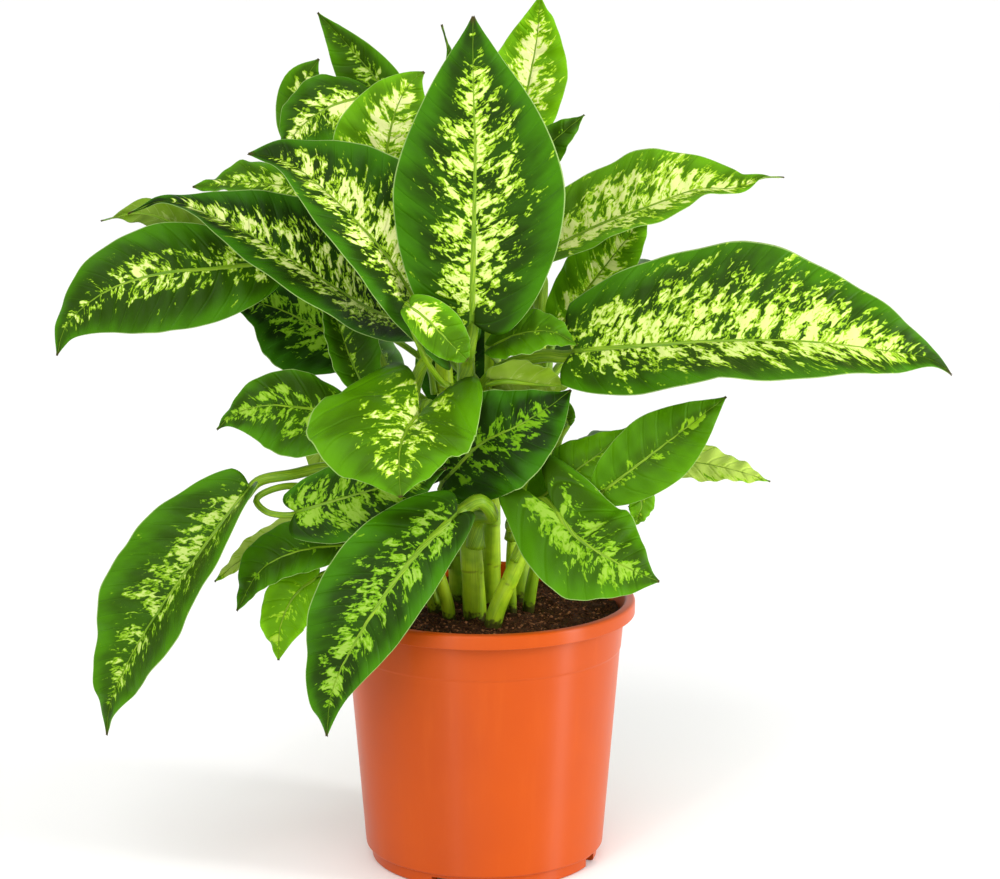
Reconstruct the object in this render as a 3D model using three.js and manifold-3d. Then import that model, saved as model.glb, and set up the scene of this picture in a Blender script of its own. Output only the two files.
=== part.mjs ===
// Potted dieffenbachia: a moulded nursery pot filled with soil, nine canes standing in it,
// and the leaves, each one stalk and blade grown in one piece.
// Millimetres, +Z up. The origin is the middle of the pot's underside, and the plant's
// fullest side looks along -Y.
import * as THREE from "three";
import { mergeVertices } from "three/addons/utils/BufferGeometryUtils.js";
import Module from "manifold-3d";

const wasm = await Module();
wasm.setup();

// ---- driving dimensions ----

const POT_HEIGHT = 150;
const RIM_RADIUS = 85;
const RIM_WIDTH = 5;
const LIP_DROP = 8;
const RIM_ROUNDING = 1.5;
const WALL = 1.6;
const BODY_TOP_RADIUS = 78.6;
const BODY_FOOT_RADIUS = 67.4;
const FOOT_HEIGHT = 8;
const FOOT_INSET = 3.4;
const FOOT_RING_WIDTH = 7;
const FLOOR_TOP = 6;
const FLOOR_GROOVE = 3;
const FLOOR_DISC_RADIUS = 30;
const STEP_BELOW_RIM = 28;
const STEP_OUT = 0.5;
const POT_SIDES = 40;

const NOTCH_COUNT = 4;
const NOTCH_FROM_FRONT = 69;
const NOTCH_WIDTH = 12.6;
const NOTCH_HEIGHT = 5;
const DRAIN_DEPTH = 8;

const SOIL_TOP = 142;
const SOIL_LUMP = 1.6;
const SOIL_SIDES = 24;
const SOIL_RINGS = 3;

const GAP = 0.35;
const CANE_SIDES = 8;
const CANE_STEPS = 8;

// How far a faceted cane and a faceted stalk reach across their flats, as shares of the radius.
const CANE_FLAT = 0.96;
const STALK_FLAT = 0.92;

const BLADE_HALF_THICKNESS = 0.5;
const EDGE_HALF_THICKNESS = 0.35;
const RIB_DEPTH_BASE = 2.4;
const RIB_DEPTH_TIP = 0.4;
const RIB_SHARE = 0.2;
const TAIL_HALF_WIDTH = 1.2;
const WIDEST_AT = 0.38;
const TAPER = 1.6;
const VEIN_SWEEP = 0.225;
const END_CALM = 7;
const SIDE_PHASE = 0.37;
const LARGE_LEAF = 20;
const LARGE_STATIONS = [0, 0.05, 0.14, 0.27, 0.42, 0.57, 0.72, 0.86];
const LARGE_COLUMNS = [-1, -0.5, -0.07, 0.07, 0.5, 1];
const SMALL_STATIONS = [0, 0.1, 0.27, 0.46, 0.66, 0.85];
const SMALL_COLUMNS = [-1, -0.12, 0.12, 1];
const STALK_SHARE = 0.075;
const STALK_RADII = [1.5, 3.4];
const STALK_FOOT = 1.25;
const BEND_DROP = 1.3;
const STALK_STEPS = 3;
const SHEATH_RISE = 12;

// Canes: a line of points from inside the soil to the growing tip, and the radii of its ends.
const CANES = [
  {"name": "cane_front", "radius": [7.5, 5],
   "line": [[-5, -17, 72], [-5, -17, 142], [-8, -20, 200], [-10, -17, 300]]},
  {"name": "cane_fork", "radius": [5.6, 4],
   "line": [[5, -32, 72], [5, -32, 142], [17, -32, 174], [31, -29, 213], [38, -17, 268]]},
  {"name": "cane_rear", "radius": [6.2, 4.5],
   "line": [[4, 9, 72], [4, 9, 142], [4, 3, 205], [5, 4, 280], [5, 6, 340]]},
  {"name": "shoot_right", "radius": [4, 3.2],
   "line": [[25, 3, 72], [25, 3, 142], [31, 2, 175], [44, -2, 215]]},
  {"name": "shoot_mid", "radius": [3.3, 2.8],
   "line": [[15.5, -5, 72], [15.5, -5, 142], [15, -7, 172], [17, -9, 205]]},
  {"name": "cane_left", "radius": [4.2, 3.4],
   "line": [[-19, -20, 72], [-19, -20, 142], [-26, -24, 172], [-40, -30, 205]]},
  {"name": "cane_side", "radius": [5.5, 4],
   "line": [[-27, -4, 72], [-27, -4, 142], [-33, -5, 185], [-40, -8, 225], [-44, -10, 264]]},
  {"name": "cane_back_left", "radius": [6.5, 4.5],
   "line": [[-14, 22, 72], [-14, 22, 142], [-20, 27, 230], [-26, 26, 335]]},
  {"name": "cane_back_right", "radius": [6.5, 4.5],
   "line": [[20, 27, 72], [20, 27, 142], [27, 33, 220], [32, 31, 330]]},
];

// Leaves: the cane and height that the stalk leaves from, the stalk's own points, the midrib's
// points from the blade's base to its tail, the widest half width, and the way the upper face
// looks at the base and the tip. fold is the rise of each half in degrees, bend how far it
// curves over, left and right the halves' widths, base and tip how blunt the ends are, lobe how
// far the halves reach back at the base, and stout how much thicker than usual the stalk is.
const USUAL_LEAF = {
  base: 0.3, tip: 1.3, left: 1, right: 1, fold: 12, bend: -20, lobe: 0.25, wave: 1.5, waves: 3, stout: 1,
};
const LEAVES = [
  {"name": "leaf_crown_front", "cane": "cane_front", "from": 278, "half": 46,
   "stalk": [[-8, -48, 298]],
   "rib": [[-6, -62, 316], [-5, -71, 356], [-4, -77, 409], [-5, -74, 445], [-5, -66, 479]],
   "face": [[0, -1, 0.15]],
   "left": 0.93, "right": 1.03, "fold": 8, "bend": -14, "wave": 1.8, "lobe": 0.14, "base": 0.42},
  {"name": "leaf_top_right", "cane": "cane_back_right", "from": 312, "half": 22,
   "stalk": [[16, 12, 381]],
   "rib": [[20, 14, 405], [24, 20, 432], [29, 22, 459], [31, 16, 485]],
   "face": [[-0.1, -0.95, 0.2]], "left": 1, "right": 0.95, "fold": 10, "wave": 2},
  {"name": "leaf_top_tail", "cane": "cane_rear", "from": 322, "half": 13,
   "stalk": [[-8, 0, 355]],
   "rib": [[-10, 0, 374], [-16, 4, 417], [-18, 6, 450], [-23, 4, 470]],
   "face": [[-0.2, -0.95, 0.1]], "fold": 16, "wave": 1, "tip": 3},
  {"name": "leaf_top_left", "cane": "cane_back_left", "from": 328, "half": 21,
   "stalk": [[-32, 14, 378]],
   "rib": [[-36, 20, 399], [-53, 27, 429], [-74, 30, 455], [-92, 26, 475]],
   "face": [[-0.1, -0.95, 0.25]], "foldR": 45, "foldL": 6, "right": 0.7, "wave": 2},
  {"name": "leaf_upper_left", "cane": "cane_back_left", "from": 314, "half": 30,
   "stalk": [[-43, 0, 352]],
   "rib": [[-54, -8, 372], [-52, -16, 403], [-46, -18, 427], [-38, -15, 440], [-31, -12, 445]],
   "face": [[-0.15, -0.95, 0.15]], "fold": 6, "bend": -10, "wave": 1.5},
  {"name": "leaf_far_left_low", "cane": "cane_back_left", "from": 295, "half": 20,
   "stalk": [[-49, 14, 392]],
   "rib": [[-67, 12, 429], [-84, 8, 424], [-100, 3, 413], [-111, 0, 398]],
   "face": [[-0.2, -0.9, 0.4]], "fold": 12, "wave": 2.5},
  {"name": "leaf_far_left_high", "cane": "cane_back_left", "from": 318, "half": 22,
   "stalk": [[-58, 40, 375]],
   "rib": [[-78, 44, 391], [-96, 42, 418], [-100, 38, 434], [-91, 34, 449]],
   "face": [[-0.1, -0.95, 0.2]], "fold": 10, "wave": 2.5},
  {"name": "leaf_blotched", "cane": "cane_side", "from": 254, "half": 42,
   "stalk": [[-35, -28, 283]],
   "rib": [[-26, -48, 310], [-37, -52, 327], [-51, -62, 351], [-68, -64, 371],
           [-88, -60, 390], [-105, -54, 401], [-126, -48, 404]],
   "face": [[0.15, -0.95, 0.35]],
   "foldL": 48, "foldR": 2, "bend": -16, "lobe": 0.5, "base": 0.5, "wave": 2.5, "left": 0.7,
   "right": 1.12},
  {"name": "leaf_long_left", "cane": "cane_rear", "from": 262, "half": 38,
   "stalk": [[-16, 0, 284]],
   "rib": [[-26, -8, 306], [-55, -24, 314], [-83, -44, 334], [-111, -48, 353],
           [-145, -46, 371], [-170, -42, 378], [-192, -38, 370]],
   "face": [[0.15, -0.85, 0.55]],
   "foldL": 42, "foldR": 4, "bend": -12, "wave": 2.5, "left": 0.85, "right": 1.12, "tip": 2.3},
  {"name": "leaf_long_under", "cane": "cane_back_left", "from": 266, "half": 19,
   "stalk": [[-85, 8, 317]],
   "rib": [[-107, 2, 338], [-134, -4, 347], [-158, -8, 357], [-186, -10, 368], [-210, -8, 363]],
   "face": [[-0.1, 0.8, 0.5]], "fold": 14, "wave": 2.5, "tip": 1.8},
  {"name": "leaf_left_narrow", "cane": "cane_back_left", "from": 286, "half": 19,
   "stalk": [[-63, 18, 355]],
   "rib": [[-79, 14, 371], [-107, 8, 380], [-133, 2, 383], [-160, -2, 381]],
   "face": [[0, -0.6, 0.8]], "fold": 16, "wave": 2.5},
  {"name": "leaf_left_big", "cane": "cane_side", "from": 226, "half": 31,
   "stalk": [[-57, -14, 289], [-84, -16, 314]],
   "rib": [[-115, -20, 342], [-145, -28, 340], [-174, -34, 338],
           [-204, -34, 328], [-226, -28, 309], [-233, -24, 290]],
   "face": [[-0.05, -0.95, 0.3]],
   "fold": 4, "bend": -12, "wave": 2, "left": 1.04, "right": 0.88, "tip": 1.45},
  {"name": "leaf_left_shade", "cane": "cane_back_left", "from": 226, "half": 24,
   "stalk": [[-47, 14, 267]],
   "rib": [[-74, 16, 289], [-94, 16, 301], [-119, 14, 313], [-142, 10, 317]],
   "face": [[-0.05, -0.8, 0.6]], "fold": 8, "wave": 1.5, "left": 1.35},
  {"name": "leaf_left_folded", "cane": "cane_side", "from": 210, "half": 18,
   "stalk": [[-49, -22, 255]],
   "rib": [[-65, -26, 273], [-73, -28, 292], [-80, -28, 312], [-90, -24, 329]],
   "face": [[0.5, -0.8, 0.2]], "fold": 30, "bend": -4, "wave": 1},
  {"name": "leaf_left_mid", "cane": "cane_side", "from": 190, "half": 22,
   "stalk": [[-46, -28, 243]],
   "rib": [[-75, -34, 261], [-98, -42, 266], [-118, -46, 268], [-136, -44, 262], [-145, -40, 253]],
   "face": [[-0.1, -0.9, 0.45]],
   "fold": 8, "bend": -14, "wave": 2, "left": 1.3, "right": 0.94, "tip": 1.8},
  {"name": "leaf_heart", "cane": "cane_front", "from": 230, "half": 46,
   "stalk": [[-30, -44, 268], [-33, -62, 266]],
   "rib": [[-34, -74, 269], [-40, -92, 263], [-43, -108, 256], [-43, -119, 246], [-42, -125, 234]],
   "face": [[-0.05, -0.42, 0.9], [-0.1, -0.75, 0.65], [-0.1, -0.9, 0.3]],
   "lobe": 0.85, "base": 0.7, "bend": -45, "fold": [30, 24, 10], "right": 1.16, "left": 0.85,
   "wave": 2.2, "waves": 3.5},
  {"name": "leaf_centre_pale", "cane": "cane_front", "from": 258, "half": 12,
   "stalk": [[-23, -54, 283], [-33, -74, 304]],
   "rib": [[-38, -80, 327], [-31, -81, 322], [-23, -80, 314], [-15, -77, 305], [-8, -72, 297]],
   "face": [[-0.1, -0.95, 0.3]],
   "fold": 6, "bend": -16, "wave": 1, "base": 0.5, "tip": 0.7, "left": 1.1, "right": 0.95},
  {"name": "leaf_right_high", "cane": "cane_back_right", "from": 300, "half": 38,
   "stalk": [[31, 14, 316]],
   "rib": [[37, 12, 345], [64, 8, 359], [91, 2, 370], [118, -2, 380],
           [137, -6, 381], [152, -8, 387], [165, -8, 387]],
   "face": [[0.1, -0.8, 0.6]],
   "foldL": 8, "foldR": 44, "bend": -8, "left": 0.9, "right": 0.64, "wave": 2, "tip": 2.2,
   "base": 0.55},
  {"name": "leaf_right_back", "cane": "cane_back_right", "from": 262, "half": 20,
   "stalk": [[34, 27, 277]],
   "rib": [[41, 21, 298], [57, 19, 321], [76, 17, 346], [93, 14, 368]],
   "face": [[-0.2, -0.9, 0.3]], "fold": 10, "wave": 1.5},
  {"name": "leaf_right_big", "cane": "cane_front", "from": 262, "half": 50,
   "stalk": [[12, -33, 287], [33, -33, 293]],
   "rib": [[48, -42, 297], [84, -56, 302], [126, -64, 306], [168, -64, 306],
           [212, -56, 300], [241, -48, 293], [254, -44, 283]],
   "face": [[0, -0.86, 0.5]],
   "foldL": [8, 8, 14, 30], "foldR": [16, 48, 40, 10], "bend": -14, "wave": 2.2, "left": 1.12,
   "right": 0.82, "lobe": 0.1, "base": 0.5, "tip": 1.55},
  {"name": "leaf_tip_right", "cane": "cane_rear", "from": 328, "half": 11,
   "stalk": [[13, -10, 367]],
   "rib": [[17, -8, 386], [33, -14, 403], [45, -16, 414], [55, -14, 422]],
   "face": [[-0.1, -0.9, 0.3]], "fold": 14, "wave": 2},
  {"name": "leaf_under_crown", "cane": "cane_rear", "from": 270, "half": 15,
   "stalk": [[7, -16, 287]],
   "rib": [[4, -38, 299], [19, -46, 307], [36, -50, 309], [51, -48, 301]],
   "face": [[0.1, -0.7, 0.7]], "fold": 12, "wave": 1},
  {"name": "leaf_underside", "cane": "cane_fork", "from": 258, "half": 16,
   "stalk": [[20, -22, 264]],
   "rib": [[6, -37, 280], [13, -41, 281], [29, -42, 279], [47, -37, 277]],
   "face": [[0, 0.85, 0.5]], "fold": 6, "bend": -20, "wave": 1.5},
  {"name": "leaf_centre_dark", "cane": "cane_front", "from": 214, "half": 30,
   "stalk": [[-23, -30, 217]],
   "rib": [[-20, -40, 227], [-1, -50, 248], [18, -53, 258], [35, -51, 268], [48, -45, 277]],
   "face": [[0.1, -0.85, 0.5]],
   "fold": 10, "bend": -16, "wave": 2, "lobe": 0.4, "left": 0.85, "right": 1.1},
  {"name": "leaf_low_left", "cane": "cane_left", "from": 196, "half": 23,
   "stalk": [[-73, -36, 216], [-108, -44, 223], [-123, -50, 217], [-117, -54, 211]],
   "rib": [[-101, -58, 212], [-76, -61, 220], [-56, -62, 226], [-35, -60, 232], [-19, -57, 236]],
   "face": [[0, -0.9, 0.45]],
   "fold": 8, "bend": -18, "wave": 1.5, "base": 0.55, "left": 0.9, "right": 1.1},
  {"name": "leaf_low_left_big", "cane": "cane_side", "from": 180, "half": 38,
   "stalk": [[-79, -28, 229], [-105, -42, 229]],
   "rib": [[-126, -52, 224], [-140, -60, 207], [-156, -66, 186], [-174, -70, 161],
           [-190, -70, 135], [-203, -64, 106], [-206, -62, 86]],
   "face": [[-0.2, -0.95, 0.25]],
   "foldR": 4, "foldL": [74, 58, 40, 22], "bend": -14, "left": 0.85, "right": 1, "lobe": 0.1,
   "base": 0.4, "wave": 3.5, "waves": 3.7, "tip": 1.5},
  {"name": "leaf_pale_low", "cane": "cane_back_left", "from": 166, "half": 13,
   "stalk": [[-59, -8, 197]],
   "rib": [[-77, -20, 196], [-107, -26, 191], [-134, -30, 178], [-149, -32, 166]],
   "face": [[0, -0.6, 0.8]], "fold": 14, "wave": 1},
  {"name": "leaf_low_dark", "cane": "cane_left", "from": 176, "half": 17,
   "stalk": [[-57, -38, 189]],
   "rib": [[-73, -42, 190], [-100, -48, 188], [-120, -52, 179], [-135, -50, 154]],
   "face": [[-0.1, -0.8, 0.6]], "fold": 10, "wave": 1.5, "left": 0.8, "right": 1.1},
  {"name": "leaf_low_yellow", "cane": "cane_left", "from": 158, "half": 15,
   "stalk": [[-73, -34, 174]],
   "rib": [[-91, -38, 171], [-103, -42, 162], [-111, -44, 146], [-113, -42, 124]],
   "face": [[-0.2, -0.95, 0.2]], "fold": 8, "wave": 2},
  {"name": "leaf_low_front", "cane": "cane_front", "from": 190, "half": 28,
   "stalk": [[5, -52, 209], [-3, -66, 220]],
   "rib": [[-14, -76, 215], [-31, -88, 201], [-49, -98, 180],
           [-66, -102, 154], [-80, -98, 124], [-84, -92, 95]],
   "face": [[-0.1, -0.95, 0.25]],
   "fold": 6, "bend": -14, "wave": 3, "waves": 3.5, "base": 0.4, "left": 0.75, "right": 1.22,
   "stout": 1.7},
  {"name": "leaf_low_right", "cane": "shoot_mid", "from": 190, "half": 34,
   "stalk": [[15, -38, 199], [31, -54, 217]],
   "rib": [[38, -69, 216], [49, -80, 204], [63, -89, 196], [80, -94, 188], [94, -94, 182]],
   "face": [[-0.1, -0.8, 0.6]],
   "lobe": 0.9, "base": 0.7, "fold": 2, "bend": -22, "wave": 1.8, "left": 0.88, "right": 0.9},
  {"name": "leaf_right_mid", "cane": "cane_fork", "from": 182, "half": 17,
   "stalk": [],
   "rib": [[27, -42, 213], [45, -44, 228], [63, -42, 241], [80, -36, 255]],
   "face": [[0, -0.8, 0.6]], "fold": 10, "wave": 1.5},
  {"name": "leaf_right_low", "cane": "shoot_right", "from": 204, "half": 20,
   "stalk": [[50, -40, 202]],
   "rib": [[65, -59, 224], [84, -63, 240], [105, -61, 256], [131, -54, 275]],
   "face": [[0.15, -0.9, 0.4]], "fold": 8, "wave": 1.5, "base": 0.4},
  {"name": "leaf_right_pale", "cane": "shoot_right", "from": 196, "half": 17,
   "stalk": [[60, 12, 197]],
   "rib": [[88, 14, 222], [116, 10, 225], [141, 6, 221], [161, 4, 215]],
   "face": [[0, -0.4, 0.9]], "fold": 12, "wave": 1},
  {"name": "leaf_right_drop", "cane": "shoot_right", "from": 186, "half": 8,
   "stalk": [[65, -8, 202]],
   "rib": [[81, -14, 217], [87, -16, 209], [86, -16, 201], [83, -14, 193]],
   "face": [[0.3, -0.9, 0.1]], "fold": 10, "wave": 0.5},
  {"name": "leaf_young_right", "cane": "cane_fork", "from": 240, "half": 6,
   "stalk": [],
   "rib": [[46, -26, 254], [44, -30, 261], [43, -30, 267], [45, -28, 272]],
   "face": [[0, -1, 0.1]], "fold": 30, "wave": 0.5},
  {"name": "leaf_back_high_left", "cane": "cane_back_left", "from": 300, "half": 30,
   "stalk": [[-42, 52, 326]],
   "rib": [[-50, 62, 334], [-72, 90, 352], [-92, 122, 356], [-108, 152, 344], [-116, 172, 326]],
   "face": [[0.2, -0.3, 1], [-0.4, 0.6, 0.7]], "fold": 10, "wave": 2},
  {"name": "leaf_back_mid_left", "cane": "cane_back_left", "from": 238, "half": 29,
   "stalk": [[-46, 46, 262]],
   "rib": [[-56, 56, 270], [-82, 86, 288], [-106, 114, 294], [-126, 138, 286], [-136, 150, 272]],
   "face": [[0.3, -0.3, 1], [-0.5, 0.4, 0.7]], "fold": 10, "wave": 2},
  {"name": "leaf_back_low_left", "cane": "cane_back_left", "from": 206, "half": 29,
   "stalk": [[-36, 52, 222]],
   "rib": [[-44, 66, 226], [-64, 100, 234], [-84, 134, 226], [-100, 162, 200], [-106, 174, 176]],
   "face": [[0.2, -0.3, 1], [-0.3, 0.8, 0.6]], "fold": 10, "wave": 2},
  {"name": "leaf_back_high", "cane": "cane_rear", "from": 318, "half": 33,
   "stalk": [[4, 36, 352]],
   "rib": [[3, 46, 360], [0, 76, 386], [-3, 108, 398], [-5, 140, 388], [-6, 162, 364]],
   "face": [[0, -0.4, 1], [0, 0.8, 0.6]], "fold": 8, "wave": 2},
  {"name": "leaf_back_high_right", "cane": "cane_back_right", "from": 276, "half": 30,
   "stalk": [[54, 48, 308]],
   "rib": [[64, 56, 314], [94, 82, 323], [124, 108, 319], [150, 132, 299], [160, 144, 279]],
   "face": [[-0.2, -0.3, 1], [0.4, 0.5, 0.7]], "fold": 10, "wave": 2},
  {"name": "leaf_back_mid_right", "cane": "cane_back_right", "from": 246, "half": 31,
   "stalk": [[44, 60, 272]],
   "rib": [[50, 72, 278], [66, 106, 294], [80, 140, 288], [92, 168, 262], [97, 180, 238]],
   "face": [[-0.1, -0.3, 1], [0.2, 0.8, 0.6]], "fold": 10, "wave": 2},
  {"name": "leaf_back_low_right", "cane": "cane_back_right", "from": 198, "half": 27,
   "stalk": [[50, 46, 214]],
   "rib": [[58, 56, 219], [78, 82, 225], [96, 106, 217], [108, 126, 199], [112, 135, 185]],
   "face": [[-0.3, -0.2, 1], [0.5, 0.5, 0.6]], "fold": 10, "wave": 2},
  {"name": "leaf_back_middle", "cane": "cane_rear", "from": 226, "half": 27,
   "stalk": [[-2, 32, 238]],
   "rib": [[-6, 42, 246], [-11, 46, 266], [-14, 47, 286], [-14, 46, 304], [-12, 43, 318]],
   "face": [[0, -1, 0.1]], "fold": 8, "wave": 1.5},
  {"name": "leaf_back_low", "cane": "cane_rear", "from": 196, "half": 27,
   "stalk": [[6, 52, 216]],
   "rib": [[6, 64, 219], [10, 98, 224], [12, 130, 212], [12, 154, 184], [12, 163, 162]],
   "face": [[0, -0.3, 1], [0, 0.8, 0.5]], "fold": 10, "wave": 2},
];

// ---- materials ----

const POT_PLASTIC = { color: 0xe4611a, roughness: 0.42, metalness: 0 };
const SOIL_EARTH = { color: 0x2c1a12, roughness: 0.95, metalness: 0 };
const CANE_GREEN = { color: 0x86a822, roughness: 0.5, metalness: 0 };
const LEAF_GREEN = { color: 0x3f8f26, roughness: 0.45, metalness: 0 };

// ---- helpers ----

const vec = ([x, y, z]) => new THREE.Vector3(x, y, z);
const mix = THREE.MathUtils.lerp;
const radians = THREE.MathUtils.degToRad;

// A value that is one number, or numbers spread evenly from a leaf's base to its tip.
function along(values, share) {
  const list = [values].flat();
  const place = share * (list.length - 1);
  const index = Math.min(Math.floor(place), list.length - 2);
  return list.length === 1 ? list[0] : mix(list[index], list[index + 1], place - index);
}

function indexedGeometry(positions, index) {
  const geometry = new THREE.BufferGeometry();
  geometry.setAttribute("position", new THREE.Float32BufferAttribute(positions, 3));
  geometry.setIndex(index);
  geometry.computeVertexNormals();
  return geometry;
}

function closedGeometry(points, faces) {
  return indexedGeometry(points.flatMap((point) => point.toArray()), faces.flat());
}

function toSolid(geometry) {
  const bare = geometry.clone();
  bare.deleteAttribute("normal");
  bare.deleteAttribute("uv");
  const merged = mergeVertices(bare, 1e-4);
  return new wasm.Manifold(new wasm.Mesh({
    numProp: 3,
    vertProperties: new Float32Array(merged.attributes.position.array),
    triVerts: new Uint32Array(merged.index.array),
  }));
}

function fromSolid(solid) {
  const { numProp, vertProperties, triVerts } = solid.getMesh();
  const positions = [];
  for (let i = 0; i < vertProperties.length; i += numProp) {
    positions.push(vertProperties[i], vertProperties[i + 1], vertProperties[i + 2]);
  }
  return indexedGeometry(positions, Array.from(triVerts));
}

function mesh(name, geometry, finish) {
  const piece = new THREE.Mesh(geometry, new THREE.MeshStandardMaterial({ ...finish }));
  piece.name = name;
  return piece;
}

// Faces of a tube through rings of equally many points, each ring counter-clockwise when
// it is seen from the end that the rings run towards.
function tubeFaces(rings) {
  const faces = [];
  const sides = rings[0].length;
  for (let r = 0; r + 1 < rings.length; r += 1) {
    for (let a = 0; a < sides; a += 1) {
      const b = (a + 1) % sides;
      faces.push([rings[r][a], rings[r][b], rings[r + 1][b]]);
      faces.push([rings[r][a], rings[r + 1][b], rings[r + 1][a]]);
    }
  }
  return faces;
}

// ---- pot ----

// Radius of the pot's outer wall at a height.
function wallRadius(z) {
  const share = (z - FOOT_HEIGHT) / (POT_HEIGHT - LIP_DROP - FOOT_HEIGHT);
  return mix(BODY_FOOT_RADIUS, BODY_TOP_RADIUS, share);
}

function potProfile() {
  const footOut = BODY_FOOT_RADIUS - FOOT_INSET;
  const footIn = footOut - FOOT_RING_WIDTH;
  const step = POT_HEIGHT - STEP_BELOW_RIM;
  const lipBottom = POT_HEIGHT - LIP_DROP;
  const rimIn = RIM_RADIUS - RIM_WIDTH;
  return [
    [0, 0],
    [FLOOR_DISC_RADIUS, 0],
    [FLOOR_DISC_RADIUS + 1, FLOOR_GROOVE],
    [footIn - 1, FLOOR_GROOVE],
    [footIn, 0],
    [footOut - 1, 0],
    [footOut, 1],
    [footOut, FOOT_HEIGHT - 1],
    [BODY_FOOT_RADIUS, FOOT_HEIGHT],
    [wallRadius(step) - STEP_OUT / 2, step],
    [wallRadius(step) + STEP_OUT / 2, step + 1],
    [BODY_TOP_RADIUS + STEP_OUT / 2, lipBottom],
    [rimIn, POT_HEIGHT - WALL],
    [RIM_RADIUS - WALL, POT_HEIGHT - WALL],
    [RIM_RADIUS - WALL, lipBottom],
    [RIM_RADIUS, lipBottom],
    [RIM_RADIUS, POT_HEIGHT - RIM_ROUNDING],
    [RIM_RADIUS - RIM_ROUNDING, POT_HEIGHT],
    [rimIn, POT_HEIGHT],
    [rimIn - 1, POT_HEIGHT - 0.8],
    [wallRadius(lipBottom) - WALL, lipBottom - 2],
    [wallRadius(FOOT_HEIGHT + 4) - WALL, FOOT_HEIGHT + 4],
    [footOut - WALL, FOOT_HEIGHT],
    [footOut - WALL - 1, FLOOR_TOP],
    [0, FLOOR_TOP],
  ];
}

// One drainage notch through the foot ring, with a hole up through the floor behind it.
function notchCutter(degrees) {
  const footIn = BODY_FOOT_RADIUS - FOOT_INSET - FOOT_RING_WIDTH;
  const reach = BODY_FOOT_RADIUS + 3 - footIn + DRAIN_DEPTH;
  const notch = new THREE.BoxGeometry(reach, NOTCH_WIDTH, NOTCH_HEIGHT + 1);
  notch.translate(footIn - DRAIN_DEPTH + reach / 2, 0, NOTCH_HEIGHT / 2 - 0.5);
  const drain = new THREE.BoxGeometry(DRAIN_DEPTH - 1, NOTCH_WIDTH, FLOOR_TOP + 2);
  drain.translate(footIn - DRAIN_DEPTH / 2, 0, FLOOR_TOP / 2);
  notch.rotateZ(radians(degrees));
  drain.rotateZ(radians(degrees));
  return toSolid(notch).add(toSolid(drain));
}

function pot() {
  const outline = potProfile().map(([r, z]) => new THREE.Vector2(r, z));
  const shell = new THREE.LatheGeometry(outline, POT_SIDES);
  shell.rotateX(Math.PI / 2);
  let solid = toSolid(shell);
  for (let i = 0; i < NOTCH_COUNT; i += 1) {
    solid = solid.subtract(notchCutter(NOTCH_FROM_FRONT - 90 + (i * 360) / NOTCH_COUNT));
  }
  return mesh("pot", fromSolid(solid), POT_PLASTIC);
}

// ---- canes ----

function caneCurve(cane) {
  return new THREE.CatmullRomCurve3(cane.line.map(vec));
}

const caneRadius = (cane, share) => mix(cane.radius[0], cane.radius[1], share);

function caneGeometry(cane, extra) {
  const curve = caneCurve(cane);
  const points = [];
  const rings = [];
  for (let i = 0; i <= CANE_STEPS; i += 1) {
    const share = i / CANE_STEPS;
    const centre = curve.getPointAt(share);
    const tangent = curve.getTangentAt(share);
    const across = new THREE.Vector3().crossVectors(new THREE.Vector3(0, 1, 0), tangent).normalize();
    const back = new THREE.Vector3().crossVectors(tangent, across);
    const ring = [];
    for (let k = 0; k < CANE_SIDES; k += 1) {
      const turn = (2 * Math.PI * k) / CANE_SIDES;
      const radius = caneRadius(cane, share) + extra;
      ring.push(points.length);
      points.push(centre.clone()
        .addScaledVector(across, radius * Math.cos(turn))
        .addScaledVector(back, radius * Math.sin(turn)));
    }
    rings.push(ring);
  }
  const faces = tubeFaces(rings);
  const last = rings[CANE_STEPS];
  for (let k = 1; k + 1 < CANE_SIDES; k += 1) {
    faces.push([rings[0][0], rings[0][k + 1], rings[0][k]]);
    faces.push([last[0], last[k], last[k + 1]]);
  }
  return closedGeometry(points, faces);
}

// ---- soil ----

// Low lumps of loose soil, from three crossed waves.
function soilLump(x, y) {
  const broad = Math.sin(0.19 * x + 0.07 * y) + Math.sin(0.23 * y - 0.11 * x + 1.3);
  const fine = 0.6 * Math.sin(0.37 * (x + y));
  return (SOIL_LUMP * (broad + fine)) / 2;
}

function soil() {
  const points = [];
  const rings = [];
  const addRing = (radius, height) => {
    const ring = [];
    for (let k = 0; k < SOIL_SIDES; k += 1) {
      const turn = (2 * Math.PI * k) / SOIL_SIDES;
      const x = radius * Math.cos(turn);
      const y = radius * Math.sin(turn);
      ring.push(points.length);
      points.push(new THREE.Vector3(x, y, height(x, y)));
    }
    rings.push(ring);
  };
  const fill = (z) => wallRadius(z) - WALL - 2 * GAP;
  const narrow = FOOT_HEIGHT + 6;
  addRing(fill(narrow) - 5, () => FLOOR_TOP + GAP);
  addRing(fill(narrow), () => narrow);
  addRing(fill(SOIL_TOP - 4), () => SOIL_TOP - 4);
  for (let r = SOIL_RINGS; r > 0; r -= 1) {
    addRing(((fill(SOIL_TOP - 4) - 0.5) * r) / SOIL_RINGS, (x, y) => SOIL_TOP + soilLump(x, y));
  }
  const faces = tubeFaces(rings);
  const bottom = points.push(new THREE.Vector3(0, 0, FLOOR_TOP + GAP)) - 1;
  const top = points.push(new THREE.Vector3(0, 0, SOIL_TOP + soilLump(0, 0))) - 1;
  for (let k = 0; k < SOIL_SIDES; k += 1) {
    const next = (k + 1) % SOIL_SIDES;
    faces.push([bottom, rings[0][next], rings[0][k]]);
    faces.push([top, rings.at(-1)[k], rings.at(-1)[next]]);
  }
  let solid = toSolid(closedGeometry(points, faces));
  for (const cane of CANES) {
    solid = solid.subtract(toSolid(caneGeometry(cane, GAP)));
  }
  return mesh("soil", fromSolid(solid), SOIL_EARTH);
}

// ---- leaves ----

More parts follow.
